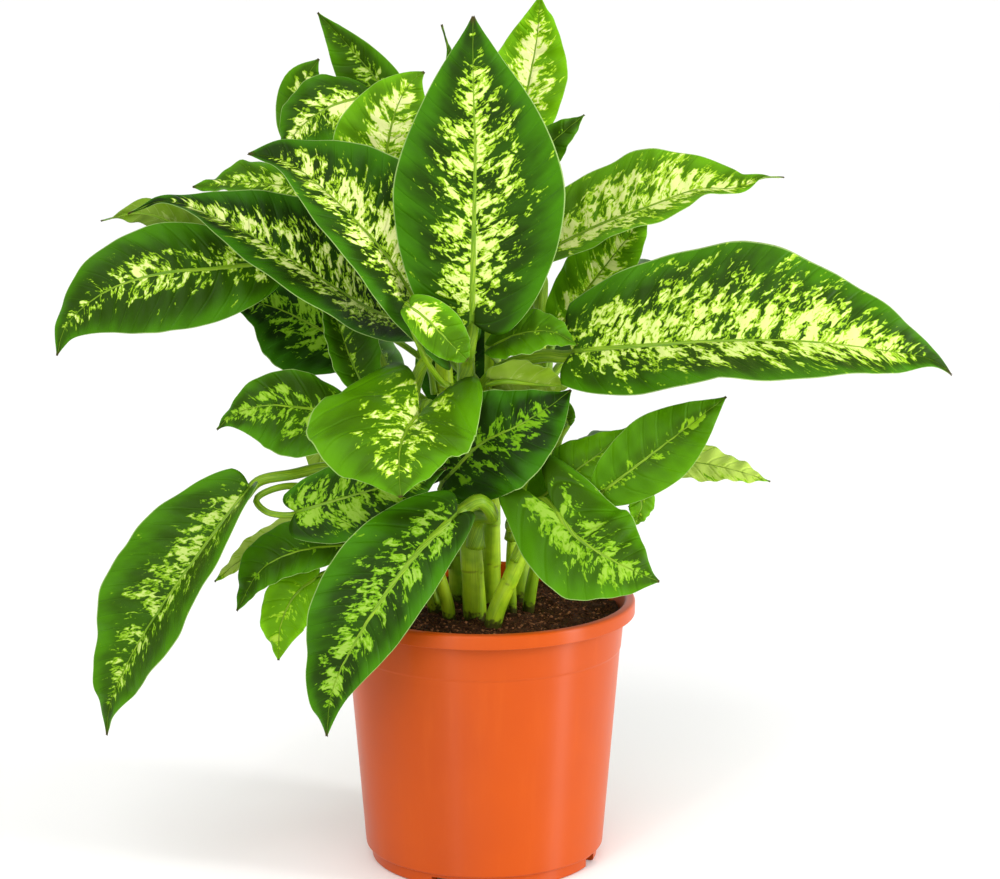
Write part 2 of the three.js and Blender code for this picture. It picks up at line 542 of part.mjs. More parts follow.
// Half width of a blade as a share of its widest: an arc to the widest place, then a taper.
function outline(leaf, s) {
  const arcPart = Math.sqrt(Math.max(0, 1 - (1 - leaf.base ** 2) * (1 - s / WIDEST_AT) ** 2));
  const t = Math.max(0, (s - WIDEST_AT) / (1 - WIDEST_AT));
  return s < WIDEST_AT ? arcPart : (1 - t ** TAPER) ** leaf.tip;
}

// The blade's own frame at a share s of its rib: T to the tip, N out of the upper face, B right.
function bladeFrame(leaf, rib, s) {
  const step = 0.004;
  const ahead = rib.getPointAt(Math.min(s + step, 1));
  const T = ahead.sub(rib.getPointAt(Math.max(s - step, 0))).normalize();
  const face = new THREE.Vector3(...[0, 1, 2].map((i) => along(leaf.face.map((f) => f[i]), s)));
  const N = face.addScaledVector(T, -face.dot(T)).normalize();
  return { C: rib.getPointAt(s), T, N, B: new THREE.Vector3().crossVectors(T, N) };
}

// A point of the blade's middle surface; q runs from -1, the left edge, to 1, the right edge.
function bladePoint(leaf, rib, s, q) {
  const { C, T, N, B } = bladeFrame(leaf, rib, s);
  const a = Math.abs(q);
  const right = q > 0;
  const side = right ? leaf.right : leaf.left;
  const width = Math.max(leaf.half * side * outline(leaf, s), TAIL_HALF_WIDTH);
  const fold = radians(along((right ? leaf.foldR : leaf.foldL) ?? leaf.fold, s));
  const bend = radians(along(leaf.bend, s));
  const across = (width * (Math.sin(fold + bend * a) - Math.sin(fold))) / bend;
  const rise = (width * (Math.cos(fold) - Math.cos(fold + bend * a))) / bend;
  const nearBase = Math.max(0, 1 - s / WIDEST_AT) ** 2;
  const lobe = leaf.lobe * leaf.half * nearBase * Math.sin(0.75 * Math.PI * a);
  const sweep = VEIN_SWEEP * rib.getLength() * s * (1 - s) * a * a;
  const calm = Math.min(1, END_CALM * s * (1 - s));
  const turns = leaf.waves * s + (right ? SIDE_PHASE : 0);
  const wave = leaf.wave * a * a * calm * Math.sin(2 * Math.PI * turns);
  return C.addScaledVector(B, Math.sign(q) * across)
    .addScaledVector(N, rise + wave)
    .addScaledVector(T, sweep - lobe);
}

// The two skins of a blade at a share s and a place q; beside the rib the lower one bulges.
function skinPoints(leaf, rib, s, q) {
  const place = THREE.MathUtils.clamp(s, 0.02, 0.98);
  const inward = q * 0.9;
  const middle = bladePoint(leaf, rib, s, q);
  const back = bladePoint(leaf, rib, place - 0.015, inward);
  const left = bladePoint(leaf, rib, place, inward - 0.05);
  const alongRib = bladePoint(leaf, rib, place + 0.015, inward).sub(back);
  const acrossRib = bladePoint(leaf, rib, place, inward + 0.05).sub(left);
  const skinNormal = acrossRib.cross(alongRib).normalize();
  const onRib = Math.abs(q) < RIB_SHARE;
  const normal = onRib ? bladeFrame(leaf, rib, s).N : skinNormal;
  const half = Math.abs(q) === 1 ? EDGE_HALF_THICKNESS : BLADE_HALF_THICKNESS;
  const depth = onRib ? mix(RIB_DEPTH_BASE, RIB_DEPTH_TIP, s) : 0;
  return {
    upper: middle.clone().addScaledVector(normal, half),
    lower: middle.addScaledVector(normal, -half - depth),
  };
}

// Faces of a blade: two skins, the rims between them, and a tail that ends in one point. The
// stalk grows out of the lower skin's first quad beside the rib, so that one is left open.
function bladeFaces(top, under, tail) {
  const faces = [];
  const lastRow = top.length - 1;
  const lastColumn = top[0].length - 1;
  const inner = (lastColumn - 1) / 2;
  for (let i = 0; i < lastRow; i += 1) {
    for (let j = 0; j < lastColumn; j += 1) {
      faces.push([top[i][j], top[i][j + 1], top[i + 1][j + 1]]);
      faces.push([top[i][j], top[i + 1][j + 1], top[i + 1][j]]);
      if (i > 0 || j !== inner) {
        faces.push([under[i][j], under[i + 1][j + 1], under[i][j + 1]]);
        faces.push([under[i][j], under[i + 1][j], under[i + 1][j + 1]]);
      }
    }
    faces.push([under[i][lastColumn], under[i + 1][lastColumn], top[i + 1][lastColumn]]);
    faces.push([under[i][lastColumn], top[i + 1][lastColumn], top[i][lastColumn]]);
    faces.push([under[i][0], top[i + 1][0], under[i + 1][0]]);
    faces.push([under[i][0], top[i][0], top[i + 1][0]]);
  }
  for (let j = 0; j < lastColumn; j += 1) {
    faces.push([under[0][j], under[0][j + 1], top[0][j + 1]]);
    faces.push([under[0][j], top[0][j + 1], top[0][j]]);
    faces.push([top[lastRow][j], top[lastRow][j + 1], tail]);
    faces.push([under[lastRow][j], tail, under[lastRow][j + 1]]);
  }
  faces.push([under[lastRow][lastColumn], tail, top[lastRow][lastColumn]]);
  faces.push([under[lastRow][0], top[lastRow][0], tail]);
  return faces;
}

// The curve of a leaf's stalk, from beside its cane to the blade; radius is the stalk's own.
function stalkCurve(leaf, radius, T, N) {
  const cane = CANES.find((c) => c.name === leaf.cane);
  const curve = caneCurve(cane);
  let share = 0;
  while (curve.getPointAt(share).z < leaf.from && share < 0.995) {
    share += 0.005;
  }
  const axis = curve.getPointAt(share);
  const lean = curve.getTangentAt(share);
  const next = vec(leaf.stalk[0] ?? leaf.rib[0]);
  const out = next.clone().sub(axis);
  out.addScaledVector(lean, -out.dot(lean)).normalize();
  const seat = CANE_FLAT * caneRadius(cane, share) + STALK_FLAT * radius + GAP;
  const start = axis.clone().addScaledVector(out, seat);
  const rise = Math.min(SHEATH_RISE, 0.35 * start.distanceTo(next));
  const second = start.clone().addScaledVector(lean, rise).addScaledVector(out, 0.2 * rise);
  const base = vec(leaf.rib[0]).addScaledVector(N, -RIB_DEPTH_BASE);
  const under = base.clone().addScaledVector(N, -BEND_DROP * radius).addScaledVector(T, -radius);
  return new THREE.CatmullRomCurve3([start, second, ...leaf.stalk.map(vec), under, base]);
}

// Rings of a six-sided stalk, from just under the blade down to its thicker foot.
function stalkRings(leaf, frame, add) {
  const thin = leaf.stout * THREE.MathUtils.clamp(STALK_SHARE * leaf.half, ...STALK_RADII);
  const thick = STALK_FOOT * thin;
  const curve = stalkCurve(leaf, thick, frame.T, frame.N);
  const bendShare = 1 - (Math.hypot(BEND_DROP, 1) * thick) / curve.getLength();
  const across = frame.B.clone();
  const rings = [];
  const steps = STALK_STEPS + leaf.stalk.length;
  for (let i = 0; i <= steps; i += 1) {
    const share = bendShare * (1 - i / steps);
    const centre = curve.getPointAt(share);
    const tangent = curve.getTangentAt(share);
    across.addScaledVector(tangent, -across.dot(tangent)).normalize();
    const outward = new THREE.Vector3().crossVectors(across, tangent);
    const radius = mix(thick, thin, share);
    rings.push([240, 300, 0, 60, 120, 180].map((degrees) => add(centre.clone()
      .addScaledVector(across, radius * Math.cos(radians(degrees)))
      .addScaledVector(outward, radius * Math.sin(radians(degrees))))));
  }
  return rings;
}

function leafGeometry(leaf) {
  const stations = leaf.half >= LARGE_LEAF ? LARGE_STATIONS : SMALL_STATIONS;
  const columns = leaf.half >= LARGE_LEAF ? LARGE_COLUMNS : SMALL_COLUMNS;
  const rib = new THREE.CatmullRomCurve3(leaf.rib.map(vec));
  const points = [];
  const add = (point) => points.push(point) - 1;
  const skins = stations.map((s) => columns.map((q) => skinPoints(leaf, rib, s, q)));
  const top = skins.map((row) => row.map((skin) => add(skin.upper)));
  const under = skins.map((row) => row.map((skin) => add(skin.lower)));
  const tail = add(rib.getPointAt(1));

  const inner = columns.length / 2 - 1;
  const [nearLeft, nearRight] = under[0].slice(inner, inner + 2);
  const [farLeft, farRight] = under[1].slice(inner, inner + 2);
  const socket = [farLeft, farRight, farRight, nearRight, nearLeft, nearLeft];
  const rings = [socket, ...stalkRings(leaf, bladeFrame(leaf, rib, 0), add)];
  const tube = tubeFaces(rings).filter((face) => new Set(face).size === 3);
  const faces = [...bladeFaces(top, under, tail), ...tube];
  const foot = rings.at(-1);
  for (let k = 1; k + 1 < foot.length; k += 1) {
    faces.push([foot[0], foot[k], foot[k + 1]]);
  }
  return closedGeometry(points, faces);
}

// ---- the whole plant ----

const group = new THREE.Group();
group.add(pot());
group.add(soil());
for (const cane of CANES) {
  group.add(mesh(cane.name, caneGeometry(cane, 0), CANE_GREEN));
}
for (const leaf of LEAVES) {
  group.add(mesh(leaf.name, leafGeometry({ ...USUAL_LEAF, ...leaf }), LEAF_GREEN));
}

export default group;
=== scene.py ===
import math

import bpy
import numpy as np
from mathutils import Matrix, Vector, noise


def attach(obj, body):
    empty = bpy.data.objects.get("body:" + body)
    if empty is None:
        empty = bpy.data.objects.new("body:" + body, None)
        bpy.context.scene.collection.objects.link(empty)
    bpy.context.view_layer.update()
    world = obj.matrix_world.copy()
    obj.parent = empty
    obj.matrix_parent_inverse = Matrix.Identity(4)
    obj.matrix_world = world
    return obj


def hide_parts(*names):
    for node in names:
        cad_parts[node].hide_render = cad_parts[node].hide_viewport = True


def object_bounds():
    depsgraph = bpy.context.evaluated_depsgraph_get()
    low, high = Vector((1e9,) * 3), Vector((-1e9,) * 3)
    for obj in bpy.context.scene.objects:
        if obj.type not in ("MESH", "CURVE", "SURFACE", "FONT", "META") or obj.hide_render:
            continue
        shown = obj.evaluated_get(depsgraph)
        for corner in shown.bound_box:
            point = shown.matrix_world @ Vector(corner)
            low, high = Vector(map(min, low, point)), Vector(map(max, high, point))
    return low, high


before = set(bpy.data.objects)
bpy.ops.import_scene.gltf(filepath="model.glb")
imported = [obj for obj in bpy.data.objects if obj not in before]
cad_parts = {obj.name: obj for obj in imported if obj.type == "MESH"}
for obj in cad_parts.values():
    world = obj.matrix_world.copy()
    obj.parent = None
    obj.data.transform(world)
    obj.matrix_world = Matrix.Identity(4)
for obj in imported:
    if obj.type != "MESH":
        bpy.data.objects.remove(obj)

cad_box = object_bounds()

# ---- The view ----
# The plant is seen from straight in front and a little from above, through a long lens, so
# that the pot's rim is a shallow ellipse and the foot leaves the lower edge of the picture.

CAMERA_PLACE = (0.00894, -1.5725, 0.55595)
CAMERA_TILT = math.radians(78.643)
CAMERA_LENS = 103.74

camera = bpy.data.objects.new("camera", bpy.data.cameras.new("camera"))
camera.data.lens = CAMERA_LENS
camera.data.sensor_width = 36
camera.location = CAMERA_PLACE
camera.rotation_euler = (CAMERA_TILT, 0, 0)
bpy.context.scene.collection.objects.link(camera)
bpy.context.scene.camera = camera
bpy.context.scene.view_settings.view_transform = "Standard"

# ---- The pot ----
# A 17 cm nursery pot of thin orange plastic, injection moulded in one piece: a tapered wall
# with a faint step, a flat rim turned down outside, an inset foot ring with four drainage
# notches and a flat middle disc.

MM = 0.001
POT_HEIGHT = 150
RIM_RADIUS = 85
RIM_WIDTH = 5
LIP_DROP = 8
WALL = 1.6
BODY_TOP_RADIUS = 78.6
BODY_FOOT_RADIUS = 67.4
FOOT_HEIGHT = 8
FOOT_INSET = 3.4
FOOT_RING_WIDTH = 7
FOOT_OUT = BODY_FOOT_RADIUS - FOOT_INSET
FOOT_IN = FOOT_OUT - FOOT_RING_WIDTH
FLOOR_TOP = 6
FLOOR_GROOVE = 3
FLOOR_DISC_RADIUS = 30
STEP_BELOW_RIM = 28
STEP_OUT = 0.5
POT_SIDES = 180
NOTCH_COUNT = 4
NOTCH_FROM_FRONT = 69
NOTCH_WIDTH = 12.6
NOTCH_HEIGHT = 5
DRAIN_DEPTH = 8
SHARP_FROM = math.radians(40)


def tint(*levels):
    """A colour for a shader from its red, green and blue as seen, each from 0 to 255."""
    linear = [((level / 255 + 0.055) / 1.055) ** 2.4 for level in levels]
    return (*linear, 1)


POT_ORANGE = tint(178, 68, 0)
POT_ORANGE_PALE = tint(186, 74, 0)
POT_SCUFF = tint(214, 104, 30)


def wall_radius(z):
    """Radius of the outside of the wall at a height."""
    share = (z - FOOT_HEIGHT) / (POT_HEIGHT - LIP_DROP - FOOT_HEIGHT)
    return BODY_FOOT_RADIUS + share * (BODY_TOP_RADIUS - BODY_FOOT_RADIUS)


def pot_corners():
    """Corners of the pot's wall in section, outside and then inside: radius, height, rounding."""
    step = POT_HEIGHT - STEP_BELOW_RIM
    lip = POT_HEIGHT - LIP_DROP
    rim_in = RIM_RADIUS - RIM_WIDTH
    return [
        (FLOOR_DISC_RADIUS, 0, 0.6),
        (FLOOR_DISC_RADIUS + 1, FLOOR_GROOVE, 0.6),
        (FOOT_IN - 1, FLOOR_GROOVE, 0.6),
        (FOOT_IN, 0, 0.8),
        (FOOT_OUT, 0, 1.2),
        (FOOT_OUT + 0.3, FOOT_HEIGHT - 1, 0.8),
        (BODY_FOOT_RADIUS, FOOT_HEIGHT - 0.4, 1.4),
        (wall_radius(step) - STEP_OUT / 2, step, 0.5),
        (wall_radius(step) + STEP_OUT / 2, step + 1, 0.5),
        (BODY_TOP_RADIUS + STEP_OUT / 2, lip - 1, 1.0),
        (rim_in + 0.4, POT_HEIGHT - WALL - 0.2, 1.0),
        (RIM_RADIUS - WALL, POT_HEIGHT - WALL - 0.4, 0.6),
        (RIM_RADIUS - WALL, lip, 0.5),
        (RIM_RADIUS - 0.1, lip, 0.6),
        (RIM_RADIUS, POT_HEIGHT, 1.9),
        (rim_in - 0.6, POT_HEIGHT, 1.5),
        (wall_radius(lip) - WALL, lip - 3, 1.5),
        (wall_radius(FOOT_HEIGHT + 4) - WALL, FOOT_HEIGHT + 4, 2),
        (FOOT_OUT - WALL - 1, FLOOR_TOP, 1.5),
    ]


def rounded(corners, steps=5):
    """The outline through the corners, each turned in a short curve of its rounding."""
    outline = [np.array(corners[0][:2], float)]
    for before, (r, z, rounding), after in zip(corners, corners[1:], corners[2:]):
        corner = np.array([r, z], float)
        start = corner + (before[:2] - corner) * min(0.45, rounding / np.linalg.norm(before[:2] - corner))
        end = corner + (after[:2] - corner) * min(0.45, rounding / np.linalg.norm(after[:2] - corner))
        for i in range(steps + 1):
            t = i / steps
            outline.append((1 - t) ** 2 * start + 2 * t * (1 - t) * corner + t ** 2 * end)
    outline.append(np.array(corners[-1][:2], float))
    return outline


def mesh_piece(name, points, faces, smooth=True):
    """A mesh object in metres from points in millimetres."""
    mesh = bpy.data.meshes.new(name)
    mesh.from_pydata((np.asarray(points, float) * MM).tolist(), [], faces)
    mesh.polygons.foreach_set("use_smooth", [smooth] * len(mesh.polygons))
    mesh.update()
    piece = bpy.data.objects.new(name, mesh)
    bpy.context.scene.collection.objects.link(piece)
    return piece


def turned_faces(rings, sides):
    """Faces between rings about the axis, closed at both ends by a fan to a point on the axis."""
    last = 1 + rings * sides
    faces = []
    for k in range(sides):
        after = (k + 1) % sides
        faces.append((0, 1 + after, 1 + k))
        faces.append((last, last - sides + k, last - sides + after))
        for i in range(rings - 1):
            row = 1 + i * sides
            faces.append((row + k, row + after, row + sides + after, row + sides + k))
    return faces


def turned(name, outline, sides):
    """A closed piece turned about the vertical axis; the outline's ends are joined on the axis."""
    points = [(0, 0, outline[0][1])]
    for r, z in outline:
        for k in range(sides):
            turn = 2 * math.pi * k / sides
            points.append((r * math.cos(turn), r * math.sin(turn), z))
    points.append((0, 0, outline[-1][1]))
    return mesh_piece(name, points, turned_faces(len(outline), sides))


def block(name, low, high, turn):
    """A plain block between two corners, turned about the vertical axis."""
    corners = [(x, y, z) for x in (low[0], high[0]) for y in (low[1], high[1]) for z in (low[2], high[2])]
    c, s = math.cos(turn), math.sin(turn)
    points = [(x * c - y * s, x * s + y * c, z) for x, y, z in corners]
    faces = [(0, 1, 3, 2), (4, 6, 7, 5), (0, 4, 5, 1), (2, 3, 7, 6), (0, 2, 6, 4), (1, 5, 7, 3)]
    return mesh_piece(name, points, faces, smooth=False)


def settle(piece):
    """Makes a piece's modifiers part of its mesh."""
    depsgraph = bpy.context.evaluated_depsgraph_get()
    mesh = bpy.data.meshes.new_from_object(piece.evaluated_get(depsgraph))
    piece.modifiers.clear()
    piece.data = mesh


def cut(piece, tool):
    """Cuts the tool's shape out of a piece, and does away with the tool."""
    modifier = piece.modifiers.new("cut", "BOOLEAN")
    modifier.operation = "DIFFERENCE"
    modifier.solver = "EXACT"
    modifier.object = tool
    settle(piece)
    bpy.data.objects.remove(tool)


class Finish:
    """A material's node tree, built from short calls; each call gives back an output socket."""

    def __init__(self, name, roughness, specular=0.5):
        self.material = bpy.data.materials.new(name)
        self.material.use_nodes = True
        self.tree = self.material.node_tree
        self.shader = self.tree.nodes["Principled BSDF"]
        self.shader.inputs["Roughness"].default_value = roughness
        self.shader.inputs["Specular IOR Level"].default_value = specular

    def node(self, kind, inputs, output=0, **settings):
        made = self.tree.nodes.new("ShaderNode" + kind)
        for key, value in settings.items():
            setattr(made, key, value)
        for key, value in inputs.items():
            self.feed(made.inputs[key], value)
        return made.outputs[output]

    def feed(self, socket, value):
        if isinstance(value, bpy.types.NodeSocket):
            self.tree.links.new(value, socket)
        else:
            socket.default_value = value

    def place(self):
        return self.node("TexCoord", {}, "Object")

    def map_of(self, name):
        return self.node("UVMap", {}, uv_map=name)

    def part(self, vector, axis):
        return self.node("SeparateXYZ", {0: vector}, axis)

    def vector(self, x, y, z):
        return self.node("CombineXYZ", {0: x, 1: y, 2: z})

    def sum(self, a, b):
        return self.node("Math", {0: a, 1: b}, operation="ADD")

    def times(self, a, b):
        return self.node("Math", {0: a, 1: b}, operation="MULTIPLY")

    def size(self, a):
        return self.node("Math", {0: a}, operation="ABSOLUTE")

    def sine(self, a):
        return self.node("Math", {0: a}, operation="SINE")

    def stretch(self, vector, scale):
        return self.node("VectorMath", {0: vector, 1: scale}, operation="MULTIPLY")

    def ramp(self, value, low, high, start=0.0, end=1.0):
        ends = {"Value": value, "From Min": low, "From Max": high, "To Min": start, "To Max": end}
        return self.node("MapRange", ends, interpolation_type="SMOOTHSTEP")

    def grain(self, vector, scale, detail=3.0, roughness=0.5, distortion=0.0):
        inputs = {"Vector": vector, "Scale": scale, "Detail": detail, "Roughness": roughness,
                  "Distortion": distortion}
        return self.node("TexNoise", inputs)

    def mix(self, share, under, over):
        return self.node("Mix", {0: share, 6: under, 7: over}, 2, data_type="RGBA")

    def colour(self, value):
        self.feed(self.shader.inputs["Base Color"], value)

    def rough(self, value):
        self.feed(self.shader.inputs["Roughness"], value)

    def relief(self, height, depth, strength=1.0):
        inputs = {"Height": height, "Distance": depth, "Strength": strength}
        self.feed(self.shader.inputs["Normal"], self.node("Bump", inputs, "Normal"))


def pot_plastic():
    """Satin orange plastic: its light runs in upright streaks, and its foot is a little scuffed."""
    finish = Finish("pot_plastic", roughness=0.4, specular=0.24)
    place = finish.place()
    cloud = finish.grain(place, 14, 3)
    flow = finish.grain(finish.stretch(place, (90, 90, 7)), 1, 4, 0.6)
    scuffs = finish.grain(finish.stretch(place, (160, 160, 700)), 1, 5, 0.7)
    height = finish.part(place, "Z")
    foot = finish.ramp(height, 0.035, 0.0)
    base = finish.mix(finish.ramp(cloud, 0.2, 0.8), POT_ORANGE, POT_ORANGE_PALE)
    streaked = finish.mix(finish.ramp(flow, 0.5, 0.85, 0, 0.18), base, POT_SCUFF)
    worn = finish.times(finish.ramp(scuffs, 0.62, 0.75), finish.times(foot, 0.4))
    finish.colour(finish.mix(worn, streaked, POT_SCUFF))
    finish.rough(finish.ramp(cloud, 0.2, 0.8, 0.36, 0.44))
    finish.relief(flow, 0.0002, 0.08)
    finish.shader.inputs["Anisotropic"].default_value = 0.92
    finish.shader.inputs["Anisotropic Rotation"].default_value = 0.25
    around = finish.node("Tangent", {}, direction_type="RADIAL", axis="Z")
    finish.feed(finish.shader.inputs["Tangent"], around)
    return finish.material


pot = turned("pot_moulding", rounded(pot_corners()), POT_SIDES)
notch_half = NOTCH_WIDTH / 2
notch_low = (FOOT_IN - DRAIN_DEPTH, -notch_half, -1)
notch_high = (BODY_FOOT_RADIUS + 3, notch_half, NOTCH_HEIGHT)
drain_high = (FOOT_IN - DRAIN_DEPTH / 2, notch_half, FLOOR_TOP + 1)
for i in range(NOTCH_COUNT):
    turn = math.radians(NOTCH_FROM_FRONT - 90 + i * 360 / NOTCH_COUNT)
    cut(pot, block("notch", notch_low, notch_high, turn))
    cut(pot, block("drain", notch_low, drain_high, turn))
pot.data.polygons.foreach_set("use_smooth", [True] * len(pot.data.polygons))
pot.data.set_sharp_from_angle(angle=SHARP_FROM)
pot.data.materials.clear()
pot.data.materials.append(pot_plastic())
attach(pot, "root")
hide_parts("pot")

# ---- The soil ----
# Dark potting compost that fills the pot to 8 mm below the rim: a lumpy bed with loose crumbs
# and short peat fibres strewn over it.

SOIL_TOP = 142
SOIL_LUMP = 1.6
SOIL_GAP = 0.7
SOIL_RINGS = 56
SOIL_SIDES = 170
STREWN_RADIUS = 72.5
CRUMB_COUNT = 3200
FIBRE_COUNT = 140
BED_TONE = 0.15
SOIL_DARK = tint(38, 19, 8)
SOIL_BROWN = tint(98, 60, 34)
SOIL_RUST = tint(150, 100, 66)

soil_random = np.random.default_rng(7)


def soil_lump(x, y):
    """Height of the bed over its level, from the broad lumps down to single clods."""
    broad = math.sin(0.19 * x + 0.07 * y) + math.sin(0.23 * y - 0.11 * x + 1.3)
    ripple = 0.6 * math.sin(0.37 * (x + y))
    clods = noise.fractal(Vector((0.16 * x, 0.16 * y, 3.1)), 0.9, 2.1, 4)
    return SOIL_LUMP * (broad + ripple) / 2 + 1.3 * clods


def soil_bed():
    """Points and faces of the bed: a closed body from the pot's floor to its lumpy top."""
    foot, shoulder = FOOT_HEIGHT + 6, SOIL_TOP - 4
    bottom = FLOOR_TOP + 0.4
    foot_radius, shoulder_radius = (wall_radius(z) - WALL - SOIL_GAP for z in (foot, shoulder))
    rings = [(foot_radius - 5, bottom, 0), (foot_radius, foot, 0), (shoulder_radius, shoulder, 0)]
    for r in range(SOIL_RINGS, 0, -1):
        rings.append(((shoulder_radius - 0.2) * r / SOIL_RINGS, SOIL_TOP, 1))
    points = [(0, 0, bottom)]
    for radius, height, lumpy in rings:
        for k in range(SOIL_SIDES):
            turn = 2 * math.pi * k / SOIL_SIDES
            x, y = radius * math.cos(turn), radius * math.sin(turn)
            points.append((x, y, height + lumpy * soil_lump(x, y)))
    points.append((0, 0, SOIL_TOP + soil_lump(0, 0)))
    return points, turned_faces(len(rings), SOIL_SIDES)


CRUMB_CORNERS = [(0, 0, 1), (0.87, 0, 0.35), (0.2, 0.88, 0.4), (-0.75, 0.5, 0.3), (-0.7, -0.55, 0.35),
                 (0.25, -0.85, 0.3), (0.6, 0.5, -0.45), (-0.35, 0.75, -0.5), (-0.8, -0.1, -0.5),
                 (-0.1, -0.8, -0.55), (0.7, -0.45, -0.5), (0, 0, -1)]
CRUMB_FACES = [(0, 1, 2), (0, 2, 3), (0, 3, 4), (0, 4, 5), (0, 5, 1), (1, 6, 2), (2, 7, 3), (3, 8, 4),
               (4, 9, 5), (5, 10, 1), (6, 7, 2), (7, 8, 3), (8, 9, 4), (9, 10, 5), (10, 6, 1),
               (11, 7, 6), (11, 8, 7), (11, 9, 8), (11, 10, 9), (11, 6, 10)]


def strewn_place():
    """A place on the bed for a crumb or a fibre, drawn evenly over its area."""
    radius = STREWN_RADIUS * math.sqrt(soil_random.random())
    turn = 2 * math.pi * soil_random.random()
    x, y = radius * math.cos(turn), radius * math.sin(turn)
    return np.array([x, y, SOIL_TOP + soil_lump(x, y)])


def crumb():
    """One loose crumb: an uneven ball, squashed and turned, half sunk in the bed."""
    size = 0.35 + 0.95 * soil_random.random() ** 2
    shape = np.array(CRUMB_CORNERS) * soil_random.uniform(0.75, 1.2, (12, 1)) * (1, 0.85, 0.7)
    turn = 2 * math.pi * soil_random.random()
    spin = np.array([[math.cos(turn), -math.sin(turn), 0], [math.sin(turn), math.cos(turn), 0], [0, 0, 1]])
    return shape @ spin.T * size + strewn_place() + (0, 0, 0.15 * size), CRUMB_FACES


def fibre():
    """One short peat fibre: a thin three-sided strand that lies bent on the bed."""
    start = strewn_place()
    turn = 2 * math.pi * soil_random.random()
    bend = soil_random.uniform(-0.5, 0.5)
    step = soil_random.uniform(0.8, 1.8)
    points = []
    for i in range(5):
        centre = start + (0, 0, 0.5 + 0.5 * math.sin(i * 0.8))
        width = 0.16 if 0 < i < 4 else 0.05
        for k in range(3):
            side = turn + math.pi / 2
            lift = width * math.sin(2.1 * k)
            shift = width * math.cos(2.1 * k)
            points.append(centre + (shift * math.cos(side), shift * math.sin(side), lift))
        start = start + (step * math.cos(turn), step * math.sin(turn), 0)
        turn += bend
    faces = [(0, 2, 1), (12, 13, 14)]
    for i in range(4):
        for k in range(3):
            after = (k + 1) % 3
            faces.append((3 * i + k, 3 * i + after, 3 * i + 3 + after, 3 * i + 3 + k))
    return np.array(points), faces


def soil_finish():
    """Damp compost: dark brown with paler specks, and rusty where a crumb's own tone is light."""
    finish = Finish("soil", roughness=0.9, specular=0.1)
    place = finish.place()
    tone = finish.node("Attribute", {}, "Fac", attribute_name="tone", attribute_type="GEOMETRY")
    speck = finish.grain(place, 900, 5, 0.7)
    patch = finish.grain(place, 120, 3)
    base = finish.mix(finish.ramp(speck, 0.42, 0.68), SOIL_DARK, SOIL_BROWN)
    rusty = finish.ramp(finish.sum(finish.times(tone, 0.75), finish.times(patch, 0.5)), 0.62, 0.95)
    finish.colour(finish.mix(rusty, base, SOIL_RUST))
    finish.rough(finish.ramp(speck, 0.3, 0.7, 0.75, 0.98))
    finish.relief(finish.grain(place, 1500, 4, 0.7), 0.0006, 0.9)
    return finish.material


soil_points, soil_faces = soil_bed()
soil_points = [np.array(soil_points)]
soil_tone = [BED_TONE] * len(soil_points[0])
for make, count in ((crumb, CRUMB_COUNT), (fibre, FIBRE_COUNT)):
    for i in range(count):
        points, faces = make()
        offset = len(soil_tone)
        soil_points.append(points)
        soil_faces += [tuple(offset + k for k in face) for face in faces]
        soil_tone += [soil_random.random()] * len(points)
soil = mesh_piece("soil_bed", np.vstack(soil_points), soil_faces)
soil.data.attributes.new("tone", "FLOAT", "POINT").data.foreach_set("value", soil_tone)
soil.data.materials.append(soil_finish())
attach(soil, "root")
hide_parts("soil")

# ---- The canes ----
# Nine fleshy green stems of different ages that stand in the soil. Each is ringed by the scars
# of fallen leaves and wrapped by the feet of the leaf stalks that still grow on it.

CANES = [
    {"name": "cane_front", "radius": [7.5, 5],
     "line": [[-5, -17, 72], [-5, -17, 142], [-8, -20, 200], [-10, -17, 300]]},
    {"name": "cane_fork", "radius": [5.6, 4],
     "line": [[5, -32, 72], [5, -32, 142], [17, -32, 174], [31, -29, 213], [38, -17, 268]]},
    {"name": "cane_rear", "radius": [6.2, 4.5],
     "line": [[4, 9, 72], [4, 9, 142], [4, 3, 205], [5, 4, 280], [5, 6, 340]]},
    {"name": "shoot_right", "radius": [4, 3.2],
     "line": [[25, 3, 72], [25, 3, 142], [31, 2, 175], [44, -2, 215]]},
    {"name": "shoot_mid", "radius": [3.3, 2.8],
     "line": [[15.5, -5, 72], [15.5, -5, 142], [15, -7, 172], [17, -9, 205]]},
    {"name": "cane_left", "radius": [4.2, 3.4],
     "line": [[-19, -20, 72], [-19, -20, 142], [-26, -24, 172], [-40, -30, 205]]},
    {"name": "cane_side", "radius": [5.5, 4],
     "line": [[-27, -4, 72], [-27, -4, 142], [-33, -5, 185], [-40, -8, 225], [-44, -10, 264]]},
    {"name": "cane_back_left", "radius": [6.5, 4.5],
     "line": [[-14, 22, 72], [-14, 22, 142], [-20, 27, 230], [-26, 26, 335]]},
    {"name": "cane_back_right", "radius": [6.5, 4.5],
     "line": [[20, 27, 72], [20, 27, 142], [27, 33, 220], [32, 31, 330]]},
]

CANE_SIDES = 28
CANE_RING_SPACING = 1.6
CANE_DOME = 7
NODE_SPACING = 24
SCAR_LEAN = 2.2
GROWN_UNIT = 100
CANE_GREEN = tint(130, 172, 10)
CANE_PALE = tint(176, 208, 30)
# The darker green of the skin's streaks, also used as painted shade on the cane's lower part.
CANE_STREAK_AND_SHADE = tint(80, 112, 8)
SCAR_TAN = tint(104, 112, 24)


def unit(v):
    """The vectors at length one."""
    return v / np.maximum(np.linalg.norm(v, axis=-1, keepdims=True), 1e-12)


